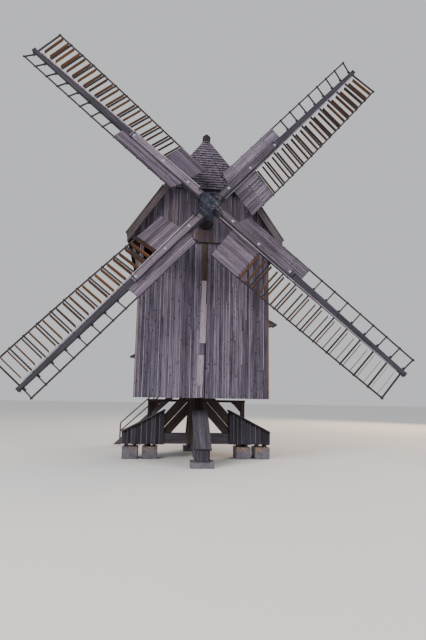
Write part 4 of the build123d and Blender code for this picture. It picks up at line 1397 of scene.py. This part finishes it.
@dataclass
class Openings(SubAssembly):
    """Frames, hinges and handles of the two windows and the door."""

    house: House
    trim_width: float = 0.075
    trim_depth: float = 0.022
    sill_proud: float = 0.008
    sill_ear: float = 0.03
    post_width: float = 0.10
    lintel_height: float = 0.11
    lintel_ear: float = 0.13
    door_set_back: float = 0.025
    iron_out: float = 0.012
    hinge_shares: tuple[float, ...] = (0.14, 0.52, 0.88)
    hatch_shares: Pair = (0.2, 0.75)
    latch_height: float = 1.0
    seed: int = 151

    def hinge(self) -> Piece:
        """Models a forged strap hinge with a tapered tip and a knuckle.

        Returns:
            The hinge, about 0.74 m long before it is sized.
        """
        strap = cube("hinge_strap", (-0.5, -0.5, 0), (0.5, 0.5, 1))
        for vertex in strap.data.vertices:
            if vertex.co.x > 0:
                vertex.co.y *= 0.5
        with chosen_faces(strap, lambda middle, normal: normal.x > 0.9):
            bpy.ops.mesh.extrude_region_move(TRANSFORM_OT_translate={"value": (0.06, 0, 0)})
            bpy.ops.transform.resize(value=(1, 0.3, 1))
        strap.data.transform(Matrix.Diagonal((0.7, 0.04, 0.006, 1)))
        knuckle = rod("hinge_knuckle", 0.011, (-0.36, -0.026, 0.004), (-0.36, 0.026, 0.004), 10)
        ease_edges(knuckle, 0.002)
        return join([strap, knuckle], "hinge_pattern")

    def ring(self) -> Piece:
        """Models a pull ring on a small plate.

        Returns:
            The ring and its plate as one pattern.
        """
        deselect()
        bpy.ops.mesh.primitive_torus_add(major_radius=0.035, minor_radius=0.005, major_segments=20,
                                         minor_segments=6, location=(0, -0.03, 0.012))
        ring = settle("pull_ring")
        plate = cube("ring_plate", (-0.022, -0.022, 0), (0.022, 0.022, 0.005))
        ease_edges(plate, 0.002)
        return join([ring, plate], "ring_pattern")

    def frames(self) -> list[Place]:
        """Places the boards round the windows and the door.

        Returns:
            The places.
        """
        house, wide, deep = self.house, self.trim_width, self.trim_depth
        places = []
        for side in Side:
            start, end, foot, head = house.window(side)
            out = X * side.value
            x = side.value * (house.half_width + deep / 2)
            sill = Vector((x + side.value * self.sill_proud, (start + end) / 2, foot - wide / 2))
            for y in (start - wide / 2, end + wide / 2):
                jamb = Vector((x, y, (foot + head) / 2 - 0.03))
                places.append(Place(jamb, Z, out, (head - foot - 0.06, wide, deep)))
            size = (end - start + 2 * wide + 2 * self.sill_ear, wide, deep + 2 * self.sill_proud)
            places.append(Place(sill, Y, out, size))
        left, right, foot, head = house.door
        y = house.rear + deep / 2
        for x in (left - self.post_width / 2, right + self.post_width / 2):
            middle = Vector((x, y, (foot + head) / 2))
            places.append(Place(middle, Z, Y, (head - foot, self.post_width, deep)))
        lintel = Vector(((left + right) / 2, y, head + self.lintel_height / 2))
        places.append(Place(lintel, X, Y, (right - left + 2 * self.lintel_ear, self.lintel_height, deep)))
        return places

    def door_boards(self, face: float) -> list[Place]:
        """Places the boards of the door.

        Args:
            face: where the door's outer face lies along Y.

        Returns:
            The places.
        """
        left, right, foot, head = self.house.door
        edges = board_widths(left + 0.01, right - 0.01, 0.13, 0.19, random.Random(self.seed))
        return [Place(Vector(((start + end) / 2, face + 0.006, (foot + head) / 2)), Z, Y,
                      (head - foot - 0.03, end - start - 0.008, 0.012)) for start, end in edges]

    def build(self) -> None:
        """Sets the frames and the ironwork."""
        house = self.house
        frames = lay_boards("opening_frames", self.frames(), self.seed)
        self.hand_over(frames, GREY_OAK.material(suffix="_frames"), Slot.BOARDS)
        face = house.rear - self.door_set_back
        planks = lay_boards("door_boards", self.door_boards(face), self.seed + 1)
        self.hand_over(planks, WALL.material(suffix="_door"), Slot.BOARDS)
        left, right, foot, head = house.door
        y = face + self.iron_out
        straps = [Place(Vector((left + 0.39, y, foot + share * (head - foot))), X, Y)
                  for share in self.hinge_shares]
        rings = [Place(Vector((right - 0.12, y, foot + self.latch_height)), X, Y)]
        for side in Side:
            start, end, foot, head = house.window(side)
            x, out = side.value * (house.half_width - 0.02), X * side.value
            for share in self.hatch_shares:
                straps.append(Place(Vector((x, start + 0.20, foot + share * (head - foot))), Y, out,
                                    (0.52, 0.8, 0.8)))
            rings.append(Place(Vector((x, end - 0.08, (foot + head) / 2)), Y, out, (0.7, 0.7, 0.7)))
        iron = replace(IRON, name="hinge_iron").material()
        for name, pattern, places in (("strap_hinges", self.hinge(), straps),
                                      ("pull_rings", self.ring(), rings)):
            self.hand_over(lay(name, pattern, places, self.seed + 3), iron, Slot.IRON)


@dataclass
class ShingleRoof(SubAssembly):
    """The courses of shingles on both slopes and both half-hips."""

    house: House
    exposure: float = 0.13
    length: float = 0.2
    narrow: float = 0.085
    wide: float = 0.145
    joint: float = 0.009
    thickness: float = 0.022
    overhang: float = 0.035
    verge_overhang: float = 0.03
    hip_reach: float = 1.85
    over_edge: float = -0.012
    tilt_share: float = 0.75
    course_drift: float = 0.003
    slip: float = 0.006
    clear: float = 0.001
    raised_share: float = 0.35
    thickness_shares: Pair = (0.8, 1.1)
    cap_size: Pair = (0.09, 0.045)
    cap_over: float = 0.06
    cap_drop: float = 0.01
    cap_lift: float = 0.040
    seed: int = 71

    def pattern(self) -> Piece:
        """Models one shingle: thick at its butt, thin at its head, with a worn butt edge.

        Returns:
            The shingle, a metre each way before it is sized.
        """
        shingle = cube("shingle_pattern", (-0.5, -0.5, 0), (0.5, 0.5, 1))
        for vertex in shingle.data.vertices:
            if vertex.co.x > 0 and vertex.co.z > 0.5:
                vertex.co.z = 0.25
        ease_edges(shingle, 0.06, lambda a, b: a.x < -0.4 and b.x < -0.4 and a.z > 0.5 and b.z > 0.5)
        return shingle

    def cover(self, name: str, plane: RoofPlane, span: Sequence[float], rise: float, seed: int) -> Piece:
        """Lays courses over a rectangle of one roof plane.

        Args:
            name: the piece's name.
            plane: the roof plane, whose point is where the courses start.
            span: from where to where across the slope.
            rise: how far up the slope the courses go.
            seed: makes the widths and tones the same each run.

        Returns:
            The shingles as one piece.
        """
        chance = random.Random(seed)
        across = plane.across
        along = (plane.up - plane.normal * (self.thickness / self.exposure * self.tilt_share)).normalized()
        face = along.cross(across).normalized()
        face = face if face.dot(plane.normal) > 0 else -face
        places = []
        course = 0
        while course * self.exposure < rise + self.length:
            drift = chance.uniform(-self.course_drift, self.course_drift)
            start = course * self.exposure - self.overhang + drift
            place = span[0] - chance.uniform(0, self.wide)
            while place < span[1]:
                width = chance.uniform(self.narrow, self.wide)
                slip = chance.uniform(-self.slip, self.slip)
                middle = plane.point + across * (place + width / 2)
                middle = middle + plane.up * (start + slip + self.length / 2)
                middle += plane.normal * (self.clear + self.thickness * self.raised_share)
                thick = self.thickness * chance.uniform(*self.thickness_shares)
                size = (self.length, width - self.joint, thick)
                places.append(Place(middle, along, face, size))
                place += width
            course += 1
        return lay(name, self.pattern(), places, seed)

    def slopes(self) -> None:
        """Covers the two long slopes."""
        house = self.house
        rise = house.eave_x / math.cos(house.slope)
        for side in Side:
            plane = house.slope_plane(side)
            span = sorted((house.verge_front * plane.across.y, house.verge_rear * plane.across.y))
            piece = self.cover(f"roof_{side.word}_shingles", plane, span, rise, self.seed + side.value)
            trim(piece, (0, house.verge_front - self.verge_overhang, 0), -Y)
            trim(piece, (0, house.verge_rear + self.verge_overhang, 0), Y)
            for end in End:
                house.hip_plane(end).lowered(self.over_edge).trim(piece)
            trim(piece, (0, 0, 0), X * -side.value)
            self.hand_over(piece, SHINGLE.material(suffix="_" + side.word), Slot.SHINGLES)

    def half_hips(self) -> None:
        """Covers the two half-hips."""
        house = self.house
        rise = house.hip_drop / math.sin(house.hip_slope)
        for end in End:
            piece = self.cover(f"half_hip_{end.word}_shingles", house.hip_plane(end),
                               (-self.hip_reach, self.hip_reach), rise, self.seed + 10 + end.value)
            for side in Side:
                house.slope_plane(side).lowered(self.over_edge).trim(piece)
            self.hand_over(piece, SHINGLE.material(suffix="_hip_" + end.word), Slot.SHINGLES)

    def verge_caps(self) -> None:
        """Lays a narrow board over the shingles' ends along each verge."""
        house = self.house
        rise = (house.hip_eave - house.eave_height) / math.sin(house.slope)
        places = []
        for side in Side:
            plane = house.slope_plane(side)
            for verge in (house.verge_front, house.verge_rear):
                middle = plane.point + Y * verge + plane.up * (rise / 2 - self.cap_drop)
                middle += plane.normal * self.cap_lift
                places.append(Place(middle, plane.up, plane.normal, (rise + self.cap_over, *self.cap_size)))
        caps = lay_boards("verge_caps", places, self.seed + 20)
        self.hand_over(caps, BARGE.material(suffix="_caps"), Slot.LIGHT_TIMBER)

    def build(self) -> None:
        """Covers the whole roof."""
        self.slopes()
        self.half_hips()
        self.verge_caps()


@dataclass
class Ridge(SubAssembly):
    """The capping boards along the ridge and the small pointed boxes on its two ends."""

    house: House
    front: float = -2.112
    rear: float = 3.917
    board: float = 0.15
    board_thickness: float = 0.02
    board_inset: float = 0.05
    board_lap: Pair = (0.98, 1.0)
    board_over: float = 0.01
    board_lift: float = 0.045
    box_length: float = 0.26
    half_width: float = 0.165
    foot: float = 13.50
    shoulder: float = 13.68
    rise: float = 0.15
    lid_normal: Pair = (0.62, 0.78)
    panel_rim: float = 0.022
    panel_depth: float = 0.02
    seed: int = 87

    def box(self, start: float, end: float) -> Piece:
        """Models one end box: a block cut to a gable, with a sunk panel in each end.

        Args:
            start: its front face, along Y.
            end: its rear face.

        Returns:
            The box.
        """
        piece = cube("ridge_box", (-self.half_width, start, self.foot),
                     (self.half_width, end, self.shoulder + self.rise))
        outward, upward = self.lid_normal
        for side in Side:
            trim(piece, (side.value * self.half_width, 0, self.shoulder), (side.value * outward, 0, upward))
        with chosen_faces(piece, lambda middle, normal: abs(normal.y) > 0.9):
            bpy.ops.mesh.inset(thickness=self.panel_rim)
        with chosen_faces(piece, lambda middle, normal: abs(normal.y) > 0.9 and abs(middle.x) < 0.01):
            bpy.ops.transform.shrink_fatten(value=-self.panel_depth)
        return piece

    def build(self) -> None:
        """Lays the capping boards and sets the boxes, and replaces the plain cap."""
        places = []
        lap_start, lap_end = self.board_lap
        stretches = ((self.front + self.board_inset, lap_end), (lap_start, self.rear - self.board_inset))
        for side in Side:
            plane = self.house.slope_plane(side)
            for start, end in stretches:
                middle = Vector((0, (start + end) / 2, self.house.ridge))
                middle -= plane.up * (self.board / 2 - self.board_over)
                places.append(Place(middle + plane.normal * self.board_lift, Y, plane.normal,
                                    (end - start, self.board, self.board_thickness)))
        caps = lay_boards("ridge_boards", places, self.seed)
        self.hand_over(caps, COPING.material(suffix="_ridge"), Slot.LIGHT_TIMBER, "ridge_cap")
        boxes = join([self.box(self.front, self.front + self.box_length),
                      self.box(self.rear - self.box_length, self.rear)], "ridge_boxes")
        self.hand_over(boxes, SHAFT.material(Z, "_ridge"), Slot.LIGHT_TIMBER)


@dataclass
class FrontBatten(SubAssembly):
    """The cover strips down the middle of the breast, pieced from short boards."""

    house: House
    lean: float = 0.018
    thickness: float = 0.03
    thin: float = 0.022
    thin_lean: float = 0.004
    seed: int = 41

    def build(self) -> None:
        """Lays the light pieces, and a brown and a grey one between them, and replaces the plain strips."""
        face = self.house.front
        along = (Z + X * self.lean).normalized()
        light = [Place(Vector((x, face - self.thickness / 2, (foot + head) / 2)), along, -Y,
                       (head - foot, width, self.thickness))
                 for x, foot, head, width in ((-0.045, 2.57, 3.005, 0.07), (-0.085, 3.01, 4.20, 0.225),
                                              (-0.02, 4.67, 6.25, 0.245), (-0.012, 6.255, 7.195, 0.19))]
        strip = lay_boards("breast_strip", light, self.seed, [0.55, 0.8, 0.75, 0.95])
        self.hand_over(strip, LIGHT.material(suffix="_strip"), Slot.LIGHT_TIMBER, "front_batten")
        for name, finish, x, height, length, width in (("breast_dark_strip", BROWN, -0.02, 8.0, 1.60, 0.235),
                                                       ("breast_grey_strip", WALL, -0.04, 4.435, 0.46, 0.16)):
            place = Place(Vector((x, face - self.thin / 2, height)), Z + X * self.thin_lean, -Y,
                          (length, width, self.thin))
            strip = lay_boards(name, [place], self.seed + 1, [0.4])
            self.hand_over(strip, finish.material(suffix="_strip"), Slot.OLD_TIMBER)


# The trestle


@dataclass
class Foot:
    """One foot of the trestle: how it is turned, where its boards begin, and its outer height."""

    turn: float
    bottom: float
    outer: float
    open_cheek: int = 0

    @property
    def spin(self) -> Matrix:
        """The turn from the foot that points to +X."""
        return Matrix.Rotation(math.radians(self.turn), 3, "Z")


@dataclass
class Trestle(SubAssembly):
    """Stones and cover boards of the standing trestle."""

    body: ClassVar[Body] = Body.TRESTLE

    frame: dict
    feet: tuple[Foot, ...] = (Foot(0, 0.60, 1.08, 1), Foot(90, 0.25, 0.68), Foot(180, 0.60, 1.08, -1),
                              Foot(270, 0.25, 0.68))
    open_stretch: Pair = (1.94, 2.16)
    reach: float = 3.12
    inner: float = 1.40
    half: float = 0.24
    inner_top: float = 1.95
    board: float = 0.018
    widths: Pair = (0.15, 0.24)
    over: Pair = (0.01, 0.03)
    gap: float = 0.008
    foot_drift: float = 0.03
    strip_share: float = 0.75
    strip_size: Pair = (0.024, 0.006)
    strip_out: float = 0.021
    end_widths: Pair = (0.08, 0.13)
    end_gap: float = 0.006
    end_drop: float = 0.03
    end_drift: Pair = (-0.02, 0.01)
    end_out: float = 0.04
    coping_edges: tuple[Pair, ...] = ((-0.325, -0.115), (-0.11, 0.105), (0.11, 0.325))
    coping_lift: float = 0.064
    coping_thickness: float = 0.026
    coping_over: float = 0.05
    rough: float = 0.007
    worn: float = 0.018
    cuts: int = 7
    smooth_angle: float = math.radians(28)
    seed: int = 301
    walls: list[Place] = field(default_factory=list)
    wall_tones: list[float] = field(default_factory=list)
    edges: list[Place] = field(default_factory=list)
    tops: list[Place] = field(default_factory=list)
    top_tones: list[float] = field(default_factory=list)

    def stones(self) -> None:
        """Replaces the plain blocks and pads by rough-hewn ones of the same size."""
        for index, node in enumerate(("stone_blocks", "stone_pads")):
            rough = take_copy("rough_" + node, self.frame["nodes"][node])
            ease_edges(rough, self.worn, segments=2)
            with editing(rough, "EDGE"):
                bpy.ops.mesh.quads_convert_to_tris()
                bpy.ops.mesh.subdivide(number_cuts=self.cuts)
                bpy.ops.transform.vertex_random(offset=self.rough, seed=self.seed + index)
            low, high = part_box(node)
            for vertex in rough.data.vertices:
                for axis in range(3):
                    vertex.co[axis] = min(high[axis], max(low[axis], vertex.co[axis]))
            pick(rough)
            bpy.ops.object.shade_smooth_by_angle(angle=self.smooth_angle)
            stone = replace(STONE, name="sandstone_" + node)
            self.hand_over(rough, stone.material(), Slot.STONE, node)

    def cheeks(self, foot: Foot, chance: random.Random) -> None:
        """Places the upright boards and strips on both cheeks of one foot.

        Args:
            foot: the foot.
            chance: the source of widths and tones.
        """
        fall = (self.inner_top - foot.outer) / (self.reach - self.inner)
        first, last = self.inner - self.over[0], self.reach + self.over[1]
        for sign in (-1, 1):
            for start, end in board_widths(first, last, *self.widths, chance):
                if sign == foot.open_cheek and end > self.open_stretch[0] and start < self.open_stretch[1]:
                    continue
                head = self.inner_top - (end - self.inner) * fall
                low = foot.bottom - chance.uniform(0.0, self.foot_drift)
                out = foot.spin @ (Y * sign)
                middle = Vector(((start + end) / 2, sign * (self.half + self.board / 2), (low + head) / 2))
                size = (head - low, end - start - self.gap, self.board)
                self.walls.append(Place(foot.spin @ middle, Z, out, size))
                self.wall_tones.append(chance.random())
                if chance.random() < self.strip_share:
                    middle = Vector((end, sign * (self.half + self.strip_out), (low + head) / 2))
                    self.edges.append(Place(foot.spin @ middle, Z, out, (head - low, *self.strip_size)))

    def end_boards(self, foot: Foot, chance: random.Random) -> None:
        """Places the upright boards on the outer end of one foot.

        Args:
            foot: the foot.
            chance: the source of widths and tones.
        """
        head = foot.outer - self.end_drop
        for start, end in board_widths(-self.half, self.half, *self.end_widths, chance):
            low = foot.bottom - chance.uniform(*self.end_drift)
            middle = Vector((self.reach + self.end_out + self.board / 2, (start + end) / 2, (low + head) / 2))
            self.walls.append(Place(foot.spin @ middle, Z, foot.spin @ X,
                                    (head - low, end - start - self.end_gap, self.board)))
            self.wall_tones.append(0.4 + 0.6 * chance.random())

    def copings(self, foot: Foot, chance: random.Random) -> None:
        """Places the sloping boards on top of one foot.

        Args:
            foot: the foot.
            chance: the source of lengths and tones.
        """
        fall = (self.inner_top - foot.outer) / (self.reach - self.inner)
        along = Vector((1, 0, -fall)).normalized()
        out = Vector((fall, 0, 1)).normalized()
        lift = Vector((self.inner, 0, self.inner_top)) + out * self.coping_lift
        for start, end in self.coping_edges:
            first = -self.coping_over + chance.uniform(-0.01, 0.02)
            last = (self.reach - self.inner) / along.x + self.coping_over + chance.uniform(-0.02, 0.03)
            middle = lift + along * ((first + last) / 2) + Y * ((start + end) / 2)
            self.tops.append(Place(foot.spin @ middle, foot.spin @ along, foot.spin @ out,
                                   (last - first, end - start, self.coping_thickness)))
            self.top_tones.append(0.35 + 0.65 * chance.random())

    def build(self) -> None:
        """Sets the stones and boards the feet."""
        self.stones()
        chance = random.Random(self.seed + 9)
        for foot in self.feet:
            self.cheeks(foot, chance)
            self.end_boards(foot, chance)
            self.copings(foot, chance)
        for name, places, shift, tones, finish in (("cover_boards", self.walls, 1, self.wall_tones, COVER),
                                                   ("cover_strips", self.edges, 3, None, COVER_STRIP),
                                                   ("coping_boards", self.tops, 2, self.top_tones, COPING)):
            self.hand_over(lay_boards(name, places, self.seed + shift, tones), finish.material(), Slot.BOARDS)


# The sails


@dataclass
class Sails(SubAssembly):
    """Finish and ironwork of the four sails, which turn with the shaft."""

    body: ClassVar[Body] = Body.SAILS

    frame: dict
    rest_angle: float = -41.8
    spacing: float = 0.38
    depth: float = 0.15
    plank: float = 0.0603
    bolts: tuple[float, ...] = (1.13, 2.42, 3.95)
    stock_root: float = 0.3
    stock_tip: float = 0.13
    stock_reach: float = 9.49
    end_size: Point = (0.30, 0.19, 0.024)
    end_place: float = 0.33
    end_proud: float = 0.078
    nut_place: float = 0.24
    split: float = 1.2
    board_gap: float = 0.006
    widening: float = 0.06
    slant: float = 0.012
    lift: float = 0.0015
    seed: int = 501

    def matrix(self, number: int) -> Matrix:
        """Gives the place of something drawn along +X for one sail.

        Args:
            number: the sail, from 0 to 3.

        Returns:
            The matrix.
        """
        turn = Matrix.Rotation(math.radians(-(self.rest_angle + 90 * number)), 4, "Y")
        shift = Matrix.Translation((0, (number % 2 - 0.5) * self.spacing, 0))
        tilt = Matrix.Rotation(-SHAFT_TILT, 4, "X")
        return Matrix.Translation(HUB) @ tilt @ shift @ turn

    def turned(self, number: int, direction: Vector) -> Vector:
        """A direction drawn for +X, turned to one sail."""
        return (self.matrix(number).to_3x3() @ direction).normalized()

    def panels(self) -> None:
        """Parts the shutters from the boards near the hub, and dresses both and the bars."""
        nodes = self.frame["nodes"]
        for number in range(4):
            suffix, sail = f"_{number + 1}", f"sail_{number + 1}"
            node = nodes[sail + "_shutters"]
            leaves = take_copy(sail + "_leaves", node, lambda length: length < self.split, self.seed + number)
            self.hand_over(leaves, LEAVES.material(suffix=suffix), Slot.SHUTTER_WOOD, node.name)
            boards = take_copy(sail + "_boards", node, lambda length: length >= self.split,
                               self.seed + 9 + number)
            self.close_up(boards, number)
            # the upper left sail takes the darker copy: painted shade
            finish = SHADED_UPPER_PANEL if number == 2 else PANEL
            self.hand_over(boards, finish.material(suffix=suffix), Slot.SAIL_TIMBER)
            dress(nodes[sail + "_frame"], BARS.material(self.turned(number, Z), suffix))

    def close_up(self, boards: Piece, number: int) -> None:
        """Adds the board against the stock on each side, and widens and slants the narrow side's boards.

        Args:
            boards: the sail's fixed boards.
            number: the sail, from 0 to 3.
        """
        chance = random.Random(self.seed + 60 + number)
        inverse = self.matrix(number).inverted()
        mesh = bmesh.new()
        mesh.from_mesh(boards.data)
        tone = mesh.verts.layers.float["tone"]
        nearest: dict[bool, tuple[float, list, Vector]] = {}
        for index, timber in enumerate(timbers_of(mesh)):
            middle, axes, own = own_axes(timber)
            height = (inverse @ Vector(middle)).z
            narrow = height > 0
            inward = Vector(axes[1])
            if (inverse.to_3x3() @ inward).z * height > 0:
                inward = -inward
            if narrow not in nearest or abs(height) < nearest[narrow][0]:
                shift = inward * (float(np.ptp(own[:, 1])) + self.board_gap)
                nearest[narrow] = (abs(height), timber, shift)
            if not narrow:
                continue
            slant = chance.uniform(-self.slant, self.slant) / float(np.ptp(own[:, 0]))
            for vertex, place in zip(timber, own):
                vertex.co += Vector(axes[1]) * (place[1] * self.widening + place[0] * slant)
                vertex.co += Vector(axes[2]) * (self.lift if index % 2 else -self.lift)
        for _, timber, shift in nearest.values():
            faces = list({face for vertex in timber for face in vertex.link_faces})
            edges = list({edge for vertex in timber for edge in vertex.link_edges})
            copied = bmesh.ops.duplicate(mesh, geom=timber + edges + faces)["geom"]
            value = chance.random()
            for item in copied:
                if isinstance(item, bmesh.types.BMVert):
                    item.co += shift
                    item[tone] = value
        mesh.to_mesh(boards.data)
        mesh.free()

    def bolt(self) -> Piece:
        """Models one coach bolt: a square washer with a six-sided head and a worn rim.

        Returns:
            The bolt.
        """
        washer = cube("washer", (-0.045, -0.045, 0), (0.045, 0.045, 0.008))
        ease_edges(washer, 0.003)
        head = rod("head", 0.026, (0, 0, 0.006), (0, 0, 0.034), 6)
        ease_edges(head, 0.004, lambda a, b: a.z > 0.03 and b.z > 0.03)
        return join([washer, head], "bolt_pattern")

    def plank_bolts(self) -> None:
        """Sets the bright bolt heads on the doubling planks."""
        places = []
        lean = math.atan((self.stock_root - self.stock_tip) / 2 / self.stock_reach)
        for number in range(4):
            matrix = self.matrix(number)
            turn = matrix.to_3x3()
            for radius in self.bolts:
                front = -(self.depth + self.plank) + radius * math.tan(lean)
                out = turn @ Vector((-math.sin(lean), -math.cos(lean), 0))
                places.append(Place(matrix @ Vector((radius, front, 0.0)), turn @ X, out))
        bolts = lay("plank_bolts", self.bolt(), places, self.seed + 30)
        self.hand_over(bolts, ZINC.material(), Slot.IRON)

    def plank_end(self) -> None:
        """Lays the front plank's end on over the casting, with its nut."""
        matrix = self.matrix(0)
        turn = matrix.to_3x3()
        thickness = self.end_size[2]
        front = self.depth + self.end_proud
        place = Place(matrix @ Vector((self.end_place, -front - thickness / 2, 0)), turn @ X, turn @ -Y,
                      self.end_size)
        end = lay_boards("plank_end", [place], self.seed + 50, [0.8])
        self.hand_over(end, PLANK.material(suffix="_end"), Slot.LIGHT_TIMBER)
        place = Place(matrix @ Vector((self.nut_place, -front - thickness, 0)), turn @ X, turn @ -Y)
        nut = lay("plank_end_nut", self.bolt(), [place], self.seed + 51)
        self.hand_over(nut, replace(IRON, name="nut_iron").material(), Slot.IRON)

    def build(self) -> None:
        """Dresses the rotor and sets its bolts."""
        self.panels()
        self.plank_bolts()
        self.plank_end()
        nodes = self.frame["nodes"]
        for number, name in enumerate(("stock_front", "stock_rear")):
            dress(nodes[name], STOCK.material(self.turned(number, X), "_" + name))
        for name, node, shift, finish, suffix in (("doubling_planks", "stock_planks", 40, PLANK, ""),
                                                  ("striking_rods", "shutter_rods", 41, LIGHT, "_rods")):
            piece = take_copy(name, nodes[node], seed=self.seed + shift)
            self.hand_over(piece, finish.material(suffix=suffix), Slot.LIGHT_TIMBER, node)
        dress(nodes["poll_end"], IRON.material())
        forged = DARK_IRON.material()
        for name in ("spider", "stock_clamps"):
            dress(nodes[name], forged)
        # the windshaft's near-black finish is painted shade
        dress(nodes["windshaft"], SHAFT.material(Y))


@dataclass
class Timbers(SubAssembly):
    """The finish of the CAD nodes that keep their own shape, and of the verge boards."""

    frame: dict
    stair_angle: float = math.radians(42.6)
    bar_angle: float = math.radians(48)

    def build(self) -> None:
        """Gives each kept timber its wood, with the grain along its length."""
        nodes = self.frame["nodes"]
        stair = leaning(X, self.stair_angle)
        for finish, along, names in (
                (GREY_OAK, X, "crosstree_upper landing landing_rail"),
                (GREY_OAK, Y, "crosstree_lower eave_soffits stair_treads"),
                (GREY_OAK, stair, "stair_stringers stair_rail"),
                (OAK, X, "prop_beam crown_tree weather_beam tail_beam eave_brackets"),
                (OAK, Y, "packing_timbers sheers floor"),
                (OAK, Z, "post prop_posts"),
                (OAK, leaning(X, -self.bar_angle), "quarter_bars_right"),
                (OAK, leaning(X, self.bar_angle), "quarter_bars_left"),
                (OAK, leaning(Y, -self.bar_angle), "quarter_bars_rear"),
                (OAK, leaning(Y, self.bar_angle), "quarter_bars_front"),
                # the roof and foot-cover cores take the same near-black painted shade
                (SHADE_BACKING, X, "half_hip_front half_hip_rear"),
                (SHADE_BACKING, Y, "roof_left roof_right"),
                (SHADE_BACKING, Z, "foot_cover_front foot_cover_rear foot_cover_left foot_cover_right"),
                (WALL, Y, "window_hoods"),
                (WALL, Z, "window_shutters rear_door")):
            for name in names.split():
                dress(nodes[name], finish.material(along, "_" + name))
        boards = take_copy("barge_boards", nodes["verge_boards"], seed=81)
        self.hand_over(boards, BARGE.material(), Slot.LIGHT_TIMBER, "verge_boards")


# The studio


@dataclass(frozen=True)
class Lamp:
    """One soft square light: its place, the length of its side, its power in watts and its tint."""

    name: str
    place: Point
    size: float
    power: float
    colour: Colour

    def hang(self, aim: Point) -> None:
        """Hangs the light.

        Args:
            aim: the point that it faces.
        """
        data = bpy.data.lights.new(self.name, "AREA")
        data.shape = "SQUARE"
        data.size = self.size
        data.energy = self.power
        data.color = self.colour
        lamp = bpy.data.objects.new(self.name, data)
        bpy.context.scene.collection.objects.link(lamp)
        lamp.location = self.place
        lamp.rotation_euler = (Vector(aim) - Vector(self.place)).to_track_quat("-Z", "Y").to_euler()


@dataclass
class Studio:
    """The floor, the soft lights and the camera, with its angles in degrees and its lens in millimetres."""

    place: Point = (-1.598, -20.673, 2.547)
    heading: float = 6.159
    pitch: float = 9.47
    roll: float = 0.96
    lens: float = 26.28
    sensor: float = 36
    clip_end: float = 1000
    floor_size: float = 400
    floor_colour: Colour = (0.80, 0.79, 0.77)
    air_colour: Colour = (0.86, 0.87, 0.90)
    air_strength: float = 0.75
    aim: Point = (0, 0, 8)
    lamps: tuple[Lamp, ...] = (Lamp("key", (-22, -26, 24), 16, 11000, (1.0, 0.96, 0.92)),
                               Lamp("fill", (24, -22, 14), 18, 4200, (0.90, 0.93, 1.0)),
                               Lamp("rim", (27, 27, 19), 20, 9500, (1.0, 0.70, 0.46)))

    def floor(self) -> None:
        """Lays a wide plain floor."""
        deselect()
        bpy.ops.mesh.primitive_plane_add(size=self.floor_size, location=(0, 0, 0))
        floor = bpy.context.object
        floor.name = "studio_floor"
        material, nodes, shader = new_material("studio_floor")
        nodes.wire(shader, Base_Color=self.floor_colour, Roughness=0.9, Specular_IOR_Level=0.1)
        floor.data.materials.append(material)

    def air(self) -> None:
        """Fills the studio with pale light."""
        world = bpy.data.worlds.new("studio")
        world.use_nodes = True
        back = world.node_tree.nodes["Background"]
        Nodes(world.node_tree).wire(back, Color=self.air_colour, Strength=self.air_strength)
        bpy.context.scene.world = world

    def camera(self) -> None:
        """Sets the camera at the picture's angle."""
        data = bpy.data.cameras.new("camera")
        data.lens = self.lens
        data.sensor_width = self.sensor
        data.sensor_fit = "AUTO"
        data.clip_end = self.clip_end
        camera = bpy.data.objects.new("camera", data)
        bpy.context.scene.collection.objects.link(camera)
        heading, pitch, roll = (math.radians(value) for value in (self.heading, self.pitch, self.roll))
        ahead = Vector((math.sin(heading) * math.cos(pitch), math.cos(heading) * math.cos(pitch),
                        math.sin(pitch)))
        right = Vector((math.cos(heading), -math.sin(heading), 0))
        up = right.cross(ahead)
        side = right * math.cos(roll) + up * math.sin(roll)
        top = up * math.cos(roll) - right * math.sin(roll)
        turn = Matrix((side, top, -ahead)).transposed().to_4x4()
        camera.matrix_world = Matrix.Translation(self.place) @ turn
        bpy.context.scene.camera = camera

    def build(self) -> None:
        """Sets up the whole studio."""
        self.floor()
        for lamp in self.lamps:
            lamp.hang(self.aim)
        self.air()
        self.camera()


def clear_start() -> None:
    """Removes what a new file holds."""
    for piece in list(bpy.data.objects):
        bpy.data.objects.remove(piece)


def main() -> None:
    """Builds the sub-assemblies in order; each one reports its pieces."""
    logging.basicConfig(level=logging.INFO, format="%(name)s %(message)s")
    clear_start()
    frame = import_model()
    weathered_wood()
    patina()
    house = House()
    parts = (WallBoards(frame, house), Openings(house), ShingleRoof(house), Ridge(house),
             FrontBatten(house), Trestle(frame), Sails(frame), Timbers(frame), Studio())
    for part in parts:
        part.build()


if __name__ == "__main__":
    main()
